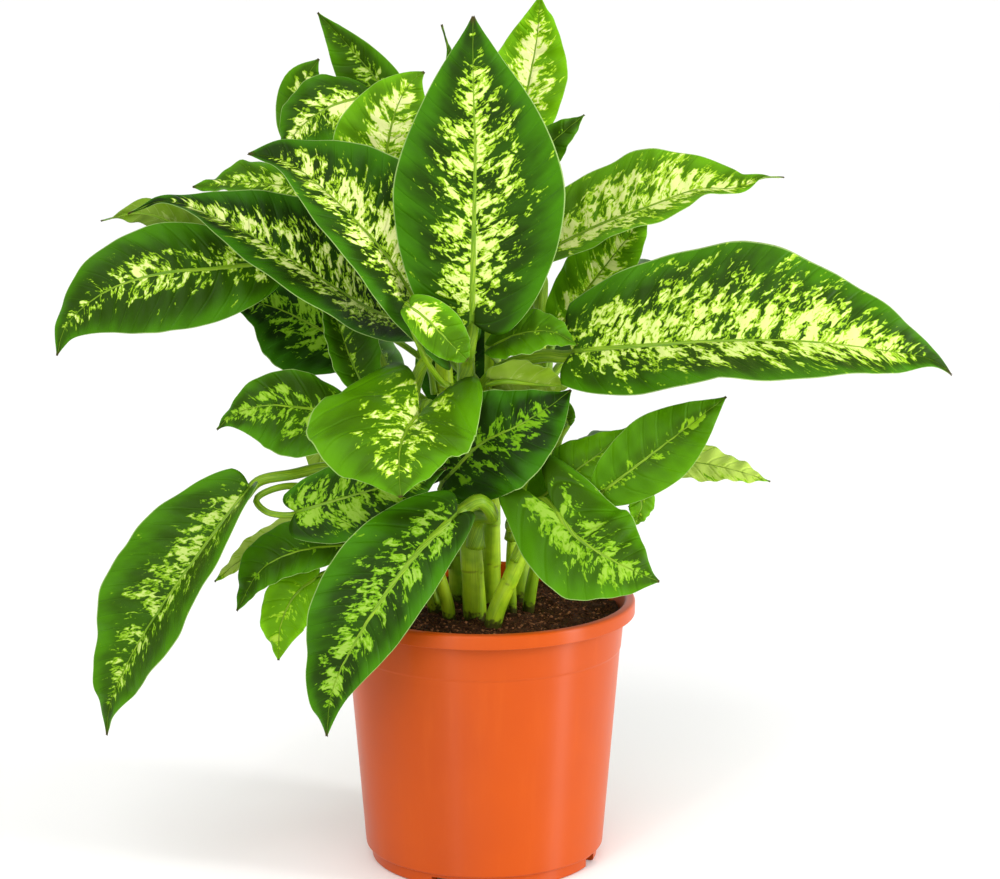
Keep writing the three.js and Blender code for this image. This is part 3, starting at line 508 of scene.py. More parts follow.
def smooth_curve(points, steps=24):
    """A smooth line through the points: dense points, their share of its length, its length."""
    p = np.asarray(points, float)
    p = np.vstack([2 * p[0] - p[1], p, 2 * p[-1] - p[-2]])
    out = []
    for i in range(1, len(p) - 2):
        p0, p1, p2, p3 = p[i - 1:i + 3]
        d0, d1, d2 = (max(np.linalg.norm(b - a), 1e-4) ** 0.5 for a, b in ((p0, p1), (p1, p2), (p2, p3)))
        m1 = ((p1 - p0) / d0 - (p2 - p0) / (d0 + d1) + (p2 - p1) / d1) * d1
        m2 = ((p2 - p1) / d1 - (p3 - p1) / (d1 + d2) + (p3 - p2) / d2) * d1
        t = np.linspace(0, 1, steps, endpoint=False)[:, None]
        cubic = (2 * p1 - 2 * p2 + m1 + m2) * t ** 3 + (3 * p2 - 3 * p1 - 2 * m1 - m2) * t ** 2
        out.append(cubic + m1 * t + p1)
    out = np.vstack(out + [p[-2][None]])
    run = np.concatenate([[0], np.cumsum(np.linalg.norm(np.diff(out, axis=0), axis=1))])
    return out, run / run[-1], run[-1]


def at(curve, s):
    """The point at a share of a smooth curve's length."""
    return np.stack([np.interp(s, curve[1], curve[0][:, k]) for k in range(3)], -1)


def heading(curve, s, step=0.004):
    """The way that a smooth curve runs at a share of its length."""
    return unit(at(curve, np.clip(s + step, 0, 1)) - at(curve, np.clip(s - step, 0, 1)))


def tube(rings):
    """Faces of a tube through rings of point numbers that run along it, closed at both ends."""
    faces = []
    sides = len(rings[0])
    for ring, following in zip(rings, rings[1:]):
        for k in range(sides):
            after = (k + 1) % sides
            faces.append((ring[k], ring[after], following[after], following[k]))
    faces.append(tuple(rings[0][::-1]))
    faces.append(tuple(rings[-1]))
    return faces


def put_map(mesh, name, values):
    """Stores a flat map of the mesh: one pair of numbers per point."""
    corners = np.empty(len(mesh.loops), dtype=np.int32)
    mesh.loops.foreach_get("vertex_index", corners)
    layer = mesh.uv_layers.new(name=name)
    layer.data.foreach_set("uv", np.asarray(values, dtype=np.float32)[corners].ravel())


def cane_finish():
    """Satin green skin with paler flecks, tan scars at the nodes, painted shade low down and painted
    contact shade at the soil line.
    """
    finish = Finish("cane", roughness=0.42, specular=0.25)
    grown = finish.map_of("grown")
    place = finish.place()
    scar = finish.node("Attribute", {}, "Fac", attribute_name="scar", attribute_type="GEOMETRY")
    streaks = finish.grain(finish.stretch(grown, (6, 120, 1)), 1, 4, 0.6)
    patches = finish.grain(place, 60, 3, 0.6)
    fleck = finish.grain(finish.stretch(grown, (60, 260, 1)), 1, 3, 0.7)
    # Painted shade: over the lowest 33 mm above the soil the skin darkens towards the shade colour.
    low = finish.ramp(finish.part(place, "Z"), 0.175, 0.142)
    skin = finish.mix(finish.ramp(patches, 0.35, 0.68), CANE_GREEN, CANE_PALE)
    skin = finish.mix(finish.ramp(streaks, 0.5, 0.72, 0, 0.5), skin, CANE_STREAK_AND_SHADE)
    skin = finish.mix(finish.ramp(fleck, 0.63, 0.72, 0, 0.35), skin, CANE_PALE)
    skin = finish.mix(finish.times(low, 0.3), skin, CANE_STREAK_AND_SHADE)
    skin = finish.mix(finish.ramp(scar, 0.35, 0.85, 0, 0.55), skin, SCAR_TAN)
    # Painted contact shade: a dark band in the soil's colour, with an uneven top, where the cane meets the
    # soil.
    soil_line_shade = finish.sum(finish.part(place, "Z"), finish.times(finish.grain(place, 420, 3), 0.012))
    finish.colour(finish.mix(finish.ramp(soil_line_shade, 0.1535, 0.1495, 0, 0.9), skin, SOIL_DARK))
    finish.rough(finish.ramp(fleck, 0.3, 0.7, 0.36, 0.52))
    finish.relief(streaks, 0.0004, 0.4)
    return finish.material


def grow_cane(cane, skin):
    """One cane: a tapered stem that is widest just above each scar and ends in a dome."""
    curve = smooth_curve(cane["line"])
    length = curve[2]
    shares = np.linspace(0, 1, int(length / CANE_RING_SPACING))
    rings, points, scars, grown = [], [], [], []
    for share, centre, tangent in zip(shares, at(curve, shares), heading(curve, shares)):
        run = share * length
        across = unit(np.cross((0, 1, 0), tangent))
        back = np.cross(tangent, across)
        dome = math.sqrt(max(0.02, 1 - max(0, (run - length + CANE_DOME) / CANE_DOME) ** 2))
        radius = (cane["radius"][0] + share * (cane["radius"][1] - cane["radius"][0])) * dome
        ring = []
        for k in range(CANE_SIDES):
            turn = 2 * math.pi * k / CANE_SIDES
            lean = SCAR_LEAN * math.cos(turn - cane["radius"][0])
            node = (run + lean) / NODE_SPACING % 1
            sheath = (1 - node) * min(1, node / 0.06)
            scar = math.exp(-((node - 0.03) / 0.035) ** 2)
            size = radius * (0.965 + 0.05 * sheath - 0.02 * scar) - 0.1
            ring.append(len(points))
            points.append(centre + size * (across * math.cos(turn) + back * math.sin(turn)))
            scars.append(scar)
            grown.append((run / GROWN_UNIT, radius * turn / GROWN_UNIT))
        rings.append(ring)
    stem = mesh_piece(cane["name"] + "_stem", points, tube(rings))
    put_map(stem.data, "grown", grown)
    stem.data.attributes.new("scar", "FLOAT", "POINT").data.foreach_set("value", scars)
    stem.data.materials.append(skin)
    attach(stem, "root")
    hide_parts(cane["name"])


cane_skin = cane_finish()
for cane in CANES:
    grow_cane(cane, cane_skin)

# ---- The leaves ----
# Each leaf is one stalk and one thin blade that grew together. The stalk clasps its cane with a
# channelled foot and runs on under the blade as the raised midrib. The blade is waved, dips at
# its side veins, and is dark green with a feathery yellow-green and cream middle.

# The blade's outline, its thickness, its waves and its side veins.
WIDEST_AT = 0.38
TAPER = 1.6
TAIL_HALF_WIDTH = 0.55
BLADE_HALF_THICKNESS = 0.26
EDGE_FROM = 0.9
EDGE_WIDTH = 0.1
EDGE_THINNING = 0.6
VALLEY_DEPTH = 0.45
EDGE_FRILL = 0.7
FRILL_TURNS = 2.6
END_CALM = 7
SIDE_PHASE = 0.37
VEIN_SPACING = 9.5
VEIN_DIP = 0.6
VEIN_SWEEP = 0.225
VEIN_LEAN = 0.45

# The stalk, with its foot on the cane and the channel along it, and the midrib.
STALK_SHARE = 0.075
STALK_RADII = (1.5, 3.4)
STALK_SIDES = 16
STALK_RING_SPACING = 2.2
SHEATH_RISE = 12
SHEATH_DROP = 0.4
FOOT_THICKENING = 1.25
FOOT_SWELL = 0.35
FOOT_SWELL_RUN = 16
CHANNEL_DEPTH = 0.30
CHANNEL_WIDTH = 0.55
RIB_RING_SPACING = 4
RIB_END_RADIUS = 0.28

# The blade's mesh: rows of points along it, and columns across it from edge to edge.
ROW_SPACING = 1.7
ROW_COUNTS = (36, 120)
ROW_CROWDING = 0.06
LAST_STATION = 0.986
COLUMNS = np.array([0, 0.025, 0.055, 0.1, 0.16, 0.24, 0.33, 0.43, 0.54, 0.65, 0.76, 0.86, 0.94, 0.985, 1])
COLUMNS = np.concatenate([-COLUMNS[:0:-1], COLUMNS])
UPPER, LOWER, STALK = range(3)

# The colours, each dark one for a shaded leaf, painted shade over its deep green, and each fresh one
# for a young leaf, and how coarse the strokes, flecks and specks are that the blotches are drawn with.
GAP_DARK = tint(16, 36, 0)
GAP_FRESH = tint(78, 124, 2)
FIELD_DARK = tint(38, 82, 0)
FIELD_FRESH = tint(92, 150, 0)
MARGIN_DARK = tint(52, 112, 0)
MARGIN_FRESH = tint(108, 170, 8)
BLOTCH_GREEN = tint(92, 150, 10)
BLOTCH_YELLOW = tint(170, 208, 40)
CREAM = tint(228, 234, 156)
RIB_GREEN = tint(104, 142, 30)
EDGE_GREEN = tint(176, 200, 124)
UNDER_GREEN = tint(90, 130, 6)
UNDER_PALE = tint(126, 160, 20)
TAIL_BROWN = tint(70, 62, 28)
STALK_GREEN = tint(88, 132, 10)
STALK_PALE = tint(140, 172, 28)
BLOTCH_LEVEL = 0.96
STROKE_GRAIN = (0.13, 0.075, 1)
FLECK_GRAIN = (0.36, 0.22, 1)
SPECK_GRAIN = (1.2, 0.9, 1)
SEED_STEP = 3.7


def along(values, s):
    """A value that is one number, or numbers spread evenly from a leaf's base to its tip."""
    v = np.atleast_1d(np.asarray(values, float))
    return np.interp(s, np.linspace(0, 1, len(v)), v)


def outline(s, base, tip):
    """Half width of a blade as a share of its widest: an arc to the widest place, then a taper."""
    arc = np.sqrt(np.clip(1 - (1 - base ** 2) * (1 - s / WIDEST_AT) ** 2, 0, 1))
    t = np.clip((s - WIDEST_AT) / (1 - WIDEST_AT), 0, 1)
    return np.where(s < WIDEST_AT, arc, (1 - t ** TAPER) ** tip)


def blade_frame(leaf, curve, s):
    """The rib's point, its heading T, the upper face's way N and the right-hand way B."""
    T = heading(curve, s)
    face = np.asarray(leaf["face"], float)
    places = np.linspace(0, 1, len(face)) if len(face) > 1 else [0.0]
    F = np.stack([np.interp(s, places, face[:, k]) for k in range(3)], -1)
    N = unit(F - (F * T).sum(-1, keepdims=True) * T)
    return at(curve, s), T, N, np.cross(T, N)


def blade(leaf, curve, s, q):
    """Points of the blade's middle surface, and how far each lies from the rib across it."""
    C, T, N, B = blade_frame(leaf, curve, s)
    a = np.abs(q)
    right = q > 0
    side = np.where(right, leaf["right"], leaf["left"])
    width = leaf["half"] * side * outline(s, leaf["base"], leaf["tip"])
    width = np.maximum(width, TAIL_HALF_WIDTH)
    folds = [along(leaf.get(key, leaf["fold"]), s) for key in ("fold_right", "fold_left")]
    fold = np.radians(np.where(right, *folds))
    bend = np.radians(along(leaf["bend"], s))
    across = width * (np.sin(fold + bend * a) - np.sin(fold)) / bend
    rise = width * (np.cos(fold) - np.cos(fold + bend * a)) / bend
    near_base = np.clip(1 - s / WIDEST_AT, 0, 1) ** 2
    lobe = leaf["lobe"] * leaf["half"] * near_base * np.sin(0.75 * np.pi * a)
    sweep = VEIN_SWEEP * curve[2] * s * (1 - s) * a ** 2
    calm = np.minimum(1, END_CALM * s * (1 - s))
    turns = leaf["waves"] * s + SIDE_PHASE * right
    wave = leaf["wave"] * a ** 2 * calm * np.sin(2 * np.pi * turns)
    frill = EDGE_FRILL * a ** 3 * calm * np.sin(2 * np.pi * (FRILL_TURNS * turns + 0.2 + 0.3 * a))
    ripple = np.cos(2 * np.pi * (s * curve[2] / VEIN_SPACING + 0.5 * right))
    dip = VEIN_DIP * ripple * calm * np.sin(np.pi * np.clip(a, 0, 1)) ** 0.8
    height = rise + wave + frill + dip
    points = C + B * (np.sign(q) * across)[..., None] + N * height[..., None]
    return points + T * (sweep - lobe)[..., None], np.sign(q) * a * width


def foot_of(leaf, radius):
    """Where a stalk leaves its cane, and the second point that holds it close to the cane."""
    cane = next(c for c in CANES if c["name"] == leaf["cane"])
    curve = smooth_curve(cane["line"])
    shares = np.linspace(0, 0.995, 200)
    share = shares[min(int(np.searchsorted(at(curve, shares)[:, 2], leaf["height"])), 199)]
    axis, lean = at(curve, share), heading(curve, share)
    following = np.array((leaf["stalk"] or leaf["rib"])[0], float)
    out = following - axis
    out = unit(out - lean * out.dot(lean))
    cane_radius = cane["radius"][0] + share * (cane["radius"][1] - cane["radius"][0])
    start = axis + out * (cane_radius + 0.55 * radius)
    rise = min(SHEATH_RISE, 0.35 * np.linalg.norm(start - following))
    return start - lean * SHEATH_DROP * rise, start + lean * rise + out * 0.3 * rise


def stalk_and_rib(leaf, curve):
    """Rings of the stalk, from its foot on the cane to the blade, and on as the midrib."""
    thin = leaf["stout"] * min(max(STALK_SHARE * leaf["half"], STALK_RADII[0]), STALK_RADII[1])
    thick = FOOT_THICKENING * thin
    start, second = foot_of(leaf, thick)
    C, T, N, B = blade_frame(leaf, curve, np.array([0.0, 0.03]))
    under = C[0] - N[0] * 2.1 * thin - T[0] * 2.2 * thin
    arrive = C[1] - N[1] * 1.05 * thin
    stalk = smooth_curve([start, second, *leaf["stalk"], under, arrive])
    count = max(18, int(stalk[2] / STALK_RING_SPACING))
    shares = np.linspace(0, 1, count)
    centres, headings = at(stalk, shares), heading(stalk, shares)
    across = np.empty_like(centres)
    side = B[0]
    for i in range(count - 1, -1, -1):
        side = unit(side - headings[i] * side.dot(headings[i]))
        across[i] = side
    radius = thick + (thin - thick) * shares
    radius *= 1 + FOOT_SWELL * np.clip(1 - shares * stalk[2] / FOOT_SWELL_RUN, 0, 1) ** 2
    s = np.linspace(0.05, 0.97, max(16, int(curve[2] / RIB_RING_SPACING)))
    C, T, N, B = blade_frame(leaf, curve, s)
    rib_radius = thin * 0.95 * (1 - s) ** 1.1 + RIB_END_RADIUS
    centres = np.vstack([centres, C - N * (rib_radius * 0.75)[:, None]])
    headings = np.vstack([headings, T])
    across = np.vstack([across, B])
    radius = np.concatenate([radius, rib_radius])
    length = np.concatenate([[0], np.cumsum(np.linalg.norm(np.diff(centres, axis=0), axis=1))])
    channel = np.concatenate([CHANNEL_DEPTH * np.clip(1.5 - 1.5 * shares, 0, 1), np.zeros(len(s))])
    points, grown, rings = [], [], []
    for centre, way, side, size, run, depth in zip(centres, headings, across, radius, length, channel):
        down = np.cross(way, side)
        ring = []
        for k in range(STALK_SIDES):
            turn = 2 * math.pi * k / STALK_SIDES
            groove = 1 - depth * math.exp(-((turn - 1.5 * math.pi) / CHANNEL_WIDTH) ** 2)
            ring.append(len(points))
            points.append(centre + size * groove * (side * math.cos(turn) + down * math.sin(turn)))
            grown.append((run / GROWN_UNIT, size * turn / GROWN_UNIT))
        rings.append(ring)
    return np.array(points), grown, rings


def between(dark, light, share):
    """The colour at a share of the way from one colour to another."""
    return tuple(d + share * (l - d) for d, l in zip(dark, light))


def blade_places(finish, seed):
    """What the blade's drawing is built on: shares of its length and width, its millimetres."""
    share = finish.map_of("share")
    grown = finish.map_of("grown")
    s = finish.part(share, "X")
    a = finish.size(finish.sum(finish.times(finish.part(share, "Y"), 2), -1))
    x = finish.times(finish.part(grown, "X"), GROWN_UNIT)
    y = finish.times(finish.part(grown, "Y"), GROWN_UNIT)
    vein = finish.sum(x, finish.times(finish.size(y), -VEIN_LEAN))
    return s, a, y, vein, finish.vector(vein, y, seed)


def variegation(finish, s, a, spot, leaf):
    """How far a place is inside a blotch: strokes that follow the side veins, thick by the rib."""
    strokes = finish.grain(finish.stretch(spot, STROKE_GRAIN), 1, 2, 0.5, 0.7)
    flecks = finish.grain(finish.stretch(spot, FLECK_GRAIN), 1, 2, 0.5, 0.9)
    specks = finish.grain(finish.stretch(spot, SPECK_GRAIN), 1, 2, 0.6, 0.5)
    drawing = finish.sum(finish.times(strokes, 0.80), finish.times(flecks, 0.85))
    drawing = finish.sum(drawing, finish.times(specks, 0.27))
    at_rib = BLOTCH_LEVEL + 0.17 - 0.24 * leaf["rich"]
    fade = finish.ramp(a, 0.2, leaf["reach"], at_rib, at_rib + 0.3)
    tip = finish.ramp(s, leaf["until"] - 0.16, leaf["until"], 0, 0.3)
    foot = finish.ramp(s, 0.08, 0.0, 0, 0.15)
    hidden = finish.sum(fade, finish.sum(tip, foot))
    return finish.sum(drawing, finish.times(hidden, -1))


def upper_skin(leaf, seed):
    """The glossy upper side: dark at the rib between the blotches, greener out to the margin."""
    finish = Finish(leaf["name"] + "_upper", roughness=0.36, specular=0.07)
    s, a, y, vein, spot = blade_places(finish, seed)
    inside = variegation(finish, s, a, spot, leaf)
    # Painted shade: a low pale darkens the gap, field and margin greens, and a low lit makes the blotches
    # greener, for a leaf in shade.
    gap = between(GAP_DARK, GAP_FRESH, leaf["pale"])
    field = between(FIELD_DARK, FIELD_FRESH, leaf["pale"])
    margin = between(MARGIN_DARK, MARGIN_FRESH, leaf["pale"])
    blotch = between(BLOTCH_GREEN, BLOTCH_YELLOW, leaf["lit"])
    cloud = finish.grain(finish.stretch(spot, (0.06, 0.03, 1)), 1, 3)
    uneven = finish.sum(a, finish.times(cloud, 0.8))
    outward = finish.ramp(uneven, leaf["reach"] * 0.6 + 0.3, leaf["reach"] * 1.15 + 0.45, 0, 0.9)
    green = finish.mix(outward, gap, field)
    green = finish.mix(finish.ramp(cloud, 0.42, 0.62, 0, 0.4), green, field)
    green = finish.mix(finish.ramp(uneven, 1.0, 1.5, 0, 0.85), green, margin)
    line = finish.size(finish.sine(finish.times(vein, math.pi / VEIN_SPACING)))
    green = finish.mix(finish.ramp(line, 0.16, 0.0, 0, 0.14), green, margin)
    green = finish.mix(finish.ramp(inside, -0.05, 0.0, 0, 0.5), green, between(margin, blotch, 0.3))
    green = finish.mix(finish.ramp(inside, -0.004, 0.012, 0, 0.97), green, between(margin, blotch, 0.62))
    green = finish.mix(finish.ramp(inside, 0.01, 0.12), green, blotch)
    green = finish.mix(finish.ramp(inside, 0.055, 0.15, 0, leaf["cream"]), green, CREAM)
    rib_half = finish.ramp(s, 0, 1, 0.35 + 0.022 * leaf["half"], 0.2)
    on_rib = finish.node("Math", {0: finish.size(y), 1: rib_half}, operation="DIVIDE")
    on_rib = finish.ramp(on_rib, 1.3, 0.6)
    green = finish.mix(finish.times(on_rib, 0.8), green, RIB_GREEN)
    green = finish.mix(finish.ramp(a, 0.98, 0.994, 0, 0.6), green, EDGE_GREEN)
    finish.colour(finish.mix(finish.ramp(s, 0.955, 0.985), green, TAIL_BROWN))
    fine = finish.grain(finish.stretch(spot, (3.2, 2.2, 1)), 1, 2)
    dull = finish.sum(finish.times(fine, 0.5), finish.times(cloud, 0.5))
    finish.rough(finish.ramp(dull, 0.3, 0.7, 0.29, 0.42))
    relief = finish.sum(finish.times(finish.ramp(line, 0.0, 0.4), 0.6), finish.times(fine, 0.3))
    relief = finish.sum(relief, finish.times(on_rib, -0.8))
    finish.relief(finish.sum(relief, finish.ramp(inside, -0.02, 0.08, 0, 0.2)), 0.0007, 0.8)
    return finish.material


def lower_skin(leaf, seed):
    """The dull, paler underside, through which the blotches and veins show faintly."""
    finish = Finish(leaf["name"] + "_lower", roughness=0.5, specular=0.06)
    s, a, y, vein, spot = blade_places(finish, seed)
    inside = variegation(finish, s, a, spot, leaf)
    cloud = finish.grain(finish.stretch(spot, (0.05, 0.05, 1)), 1, 3)
    # Painted shade as on the upper side: a low pale darkens the underside's green.
    dark = between(UNDER_GREEN, UNDER_PALE, leaf["pale"])
    light = between(dark, CREAM, 0.35)
    green = finish.mix(finish.ramp(cloud, 0.3, 0.7, 0, 0.3), dark, light)
    green = finish.mix(finish.ramp(inside, -0.04, 0.08, 0, 0.6), green, light)
    line = finish.size(finish.sine(finish.times(vein, math.pi / VEIN_SPACING)))
    green = finish.mix(finish.ramp(line, 0.16, 0.0, 0, 0.3), green, light)
    finish.colour(finish.mix(finish.ramp(s, 0.955, 0.985), green, TAIL_BROWN))
    finish.rough(finish.ramp(cloud, 0.3, 0.7, 0.44, 0.58))
    finish.relief(finish.sum(finish.ramp(line, 0.22, 0.0), finish.times(cloud, 0.3)), 0.0003, 0.5)
    return finish.material


def stalk_skin():
    """Smooth pale green stalk with fine streaks along it."""
    finish = Finish("stalk", roughness=0.40, specular=0.25)
    grown = finish.map_of("grown")
    streaks = finish.grain(finish.stretch(grown, (5, 190, 1)), 1, 4, 0.6)
    mottle = finish.grain(finish.stretch(grown, (30, 90, 1)), 1, 4, 0.65)
    skin = finish.mix(finish.ramp(streaks, 0.38, 0.66), STALK_GREEN, STALK_PALE)
    finish.colour(finish.mix(finish.ramp(mottle, 0.56, 0.70, 0, 0.45), skin, STALK_PALE))
    finish.rough(finish.ramp(mottle, 0.3, 0.7, 0.34, 0.5))
    finish.relief(streaks, 0.0003, 0.4)
    return finish.material


def blade_faces(rows, columns):
    """Faces of a blade's two sides and rim, and which of its finishes each one takes."""
    under = rows * columns
    faces, finishes = [], []
    for i in range(rows - 1):
        for j in range(columns - 1):
            a, b = i * columns + j, i * columns + j + 1
            c, d = b + columns, a + columns
            faces.append((a, b, c, d))
            faces.append((under + a, under + d, under + c, under + b))
            finishes += [UPPER, LOWER]
        left, right = i * columns, i * columns + columns - 1
        faces.append((under + right, under + right + columns, right + columns, right))
        faces.append((under + left, left, left + columns, under + left + columns))
        finishes += [UPPER, UPPER]
    last = (rows - 1) * columns
    for j in range(columns - 1):
        faces.append((under + j, under + j + 1, j + 1, j))
        faces.append((last + j, last + j + 1, under + last + j + 1, under + last + j))
        finishes += [UPPER, UPPER]
    return faces, finishes


def grow_leaf(leaf, number, stalk_material):
    """One leaf: the blade with its stalk and midrib, as one piece held inside the plant's box."""
    curve = smooth_curve(leaf["rib"])
    rows = int(min(max(curve[2] / ROW_SPACING, ROW_COUNTS[0]), ROW_COUNTS[1]))
    stations = np.linspace(0, LAST_STATION, rows)
    stations = stations - ROW_CROWDING * np.sin(2 * np.pi * stations) / (2 * np.pi)
    S, Q = np.meshgrid(stations, COLUMNS, indexing="ij")
    middle, reach = blade(leaf, curve, S, Q)
    normal = unit(np.cross(np.gradient(middle, axis=1), np.gradient(middle, axis=0)))
    edge = np.clip((np.abs(Q) - EDGE_FROM) / EDGE_WIDTH, 0, 1)
    half = (BLADE_HALF_THICKNESS * (1 - EDGE_THINNING * edge))[..., None]
    valley = (VALLEY_DEPTH * np.exp(-(reach / (0.5 + 0.02 * leaf["half"])) ** 2) * (1 - S))[..., None]
    upper = (middle + normal * (half - valley)).reshape(-1, 3)
    lower = (middle - normal * half).reshape(-1, 3)
    tube_points, tube_grown, rings = stalk_and_rib(leaf, curve)
    faces, finishes = blade_faces(rows, len(COLUMNS))
    faces_of_tube = tube([[2 * len(upper) + k for k in ring] for ring in rings])
    faces += faces_of_tube
    finishes += [STALK] * len(faces_of_tube)
    points = np.clip(np.vstack([upper, lower, tube_points]), *np.array(cad_box) / MM)
    piece = mesh_piece(leaf["name"].replace("leaf_", "") + "_leaf", points, faces)
    share = np.stack([S, Q / 2 + 0.5], -1).reshape(-1, 2)
    grown = np.stack([S * curve[2] / GROWN_UNIT, reach / GROWN_UNIT], -1).reshape(-1, 2)
    put_map(piece.data, "share", np.vstack([share, share, np.zeros((len(tube_points), 2))]))
    put_map(piece.data, "grown", np.vstack([grown, grown, tube_grown]))
    seed = SEED_STEP * number
    for material in (upper_skin(leaf, seed), lower_skin(leaf, seed), stalk_material):
        piece.data.materials.append(material)
    piece.data.polygons.foreach_set("material_index", finishes)
    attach(piece, "root")
    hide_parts(leaf["name"])


# The usual leaf. Its shape: how far the halves fold up from the rib, how much they bend on towards
# the edge, the edge's wave and how many waves, the lobe beside the stalk, how wide the base and how
# blunt the tip is, how wide each half is, and how stout the stalk. Its looks: rich, how thickly it
# is blotched at the rib; reach, how far out the blotches go; until, where they end towards the tip;
# cream and lit, how light they are, with lit partly painted light, low on a leaf in shade; and pale,
# how light the green around them is, with painted shade where it is low.
USUAL_LEAF = {"fold": 12, "bend": -20, "wave": 1.5, "waves": 3, "lobe": 0.25, "base": 0.3, "tip": 1.3,
              "left": 1, "right": 1, "stout": 1,
              "rich": 0.5, "reach": 0.75, "until": 0.96, "cream": 0.4, "lit": 0.7, "pale": 0.3}
LEAVES = []


def leaf(name, cane, height, half, stalk, rib, face, **own):
    """Lists a leaf: its cane, the height that its stalk leaves it at, the blade's widest half
    width, the stalk's own points, the midrib's points, the way that the upper face looks from base
    to tip, and then what differs from the usual leaf."""
    placed = {"name": "leaf_" + name, "cane": cane, "height": height, "half": half}
    LEAVES.append({**USUAL_LEAF, **placed, "stalk": stalk, "rib": rib, "face": face, **own})


leaf("crown_front", "cane_front", 278, 46, [(-8, -48, 298)],
     [(-6, -62, 316), (-5, -71, 356), (-4, -77, 409), (-5, -74, 445), (-5, -66, 479)],
     [(0, -1, 0.15)], fold=8, bend=-14, wave=1.8, lobe=0.14, base=0.42, left=0.93, right=1.03,
     rich=0.78, reach=0.88, cream=0.7, pale=0.12, lit=0.9)
leaf("top_right", "cane_back_right", 312, 22, [(16, 12, 381)],
     [(20, 14, 405), (24, 20, 432), (29, 22, 459), (31, 16, 485)],
     [(-0.1, -0.95, 0.2)], fold=10, wave=2, right=0.95, rich=1, reach=1.1, cream=1, pale=1.25, lit=1.15)
leaf("top_tail", "cane_rear", 322, 13, [(-8, 0, 355)],
     [(-10, 0, 374), (-16, 4, 417), (-18, 6, 450), (-23, 4, 470)],
     [(-0.2, -0.95, 0.1)], fold=16, wave=1, tip=3, rich=0.3, pale=0.2)
leaf("top_left", "cane_back_left", 328, 21, [(-32, 14, 378)],
     [(-36, 20, 399), (-53, 27, 429), (-74, 30, 455), (-92, 26, 475)],
     [(-0.1, -0.95, 0.25)], fold_left=6, fold_right=45, wave=2, right=0.7,
     rich=0.6, reach=0.85, cream=0.5, pale=0.35, lit=0.6)
leaf("upper_left", "cane_back_left", 314, 30, [(-43, 0, 352)],
     [(-54, -8, 372), (-52, -16, 403), (-46, -18, 427), (-38, -15, 440), (-31, -12, 445)],
     [(-0.15, -0.95, 0.15)], fold=6, bend=-10, rich=1.02, reach=1, cream=1, pale=0.95, lit=1.05)
leaf("far_left_low", "cane_back_left", 295, 20, [(-49, 14, 392)],
     [(-67, 12, 429), (-84, 8, 424), (-100, 3, 413), (-111, 0, 398)],
     [(-0.2, -0.9, 0.4)], wave=2.5, rich=0.85, reach=0.95, cream=1, pale=0.2, lit=0.9)
leaf("far_left_high", "cane_back_left", 318, 22, [(-58, 40, 375)],
     [(-78, 44, 391), (-96, 42, 418), (-100, 38, 434), (-91, 34, 449)],
     [(-0.1, -0.95, 0.2)], fold=10, wave=2.5, rich=0.8, reach=0.95, cream=0.8, pale=0.4, lit=0.9)
leaf("blotched", "cane_side", 254, 42, [(-35, -28, 283)],
     [(-26, -48, 310), (-37, -52, 327), (-51, -62, 351), (-68, -64, 371), (-88, -60, 390),
      (-105, -54, 401), (-126, -48, 404)],
     [(0.15, -0.95, 0.35)], fold_left=48, fold_right=2, bend=-16, wave=2.5, lobe=0.5, base=0.5, left=0.7,
     right=1.12, rich=0.95, reach=0.95, cream=1, pale=0.1, lit=1.1)
leaf("long_left", "cane_rear", 262, 38, [(-16, 0, 284)],
     [(-26, -8, 306), (-55, -24, 314), (-83, -44, 334), (-111, -48, 353), (-145, -46, 371),
      (-170, -42, 378), (-192, -38, 370)],
     [(0.15, -0.85, 0.55)], fold_left=42, fold_right=4, bend=-12, wave=2.5, tip=2.3, left=0.85,
     right=1.12, rich=0.84, reach=1, cream=0.9, pale=0.05, lit=0.9)
leaf("long_under", "cane_back_left", 266, 19, [(-85, 8, 317)],
     [(-107, 2, 338), (-134, -4, 347), (-158, -8, 357), (-186, -10, 368), (-210, -8, 363)],
     [(-0.1, 0.8, 0.5)], fold=14, wave=2.5, tip=1.8, rich=0.4, lit=0.5)
leaf("left_narrow", "cane_back_left", 286, 19, [(-63, 18, 355)],
     [(-79, 14, 371), (-107, 8, 380), (-133, 2, 383), (-160, -2, 381)],
     [(0, -0.6, 0.8)], fold=16, wave=2.5, rich=0.8, reach=0.9, cream=0.7, pale=0.5, lit=0.9)
leaf("left_big", "cane_side", 226, 31, [(-57, -14, 289), (-84, -16, 314)],
     [(-115, -20, 342), (-145, -28, 340), (-174, -34, 338), (-204, -34, 328), (-226, -28, 309),
      (-233, -24, 290)],
     [(-0.05, -0.95, 0.3)], fold=4, bend=-12, wave=2, tip=1.45, left=1.04, right=0.88,
     rich=0.66, reach=0.8, cream=0.8, pale=0.2, lit=0.85)
leaf("left_shade", "cane_back_left", 226, 24, [(-47, 14, 267)],
     [(-74, 16, 289), (-94, 16, 301), (-119, 14, 313), (-142, 10, 317)],
     [(-0.05, -0.8, 0.6)], fold=8, left=1.35, rich=0.66, reach=0.95, cream=0.05, pale=0, lit=0.3)
leaf("left_folded", "cane_side", 210, 18, [(-49, -22, 255)],
     [(-65, -26, 273), (-73, -28, 292), (-80, -28, 312), (-90, -24, 329)],
     [(0.5, -0.8, 0.2)], fold=30, bend=-4, wave=1, rich=0.45, cream=0.3, pale=0.25, lit=0.6)
leaf("left_mid", "cane_side", 190, 22, [(-46, -28, 243)],
     [(-75, -34, 261), (-98, -42, 266), (-118, -46, 268), (-136, -44, 262), (-145, -40, 253)],
     [(-0.1, -0.9, 0.45)], fold=8, bend=-14, wave=2, tip=1.8, left=1.3, right=0.94,
     rich=0.68, reach=0.95, cream=0.1, pale=0.25, lit=0.4)
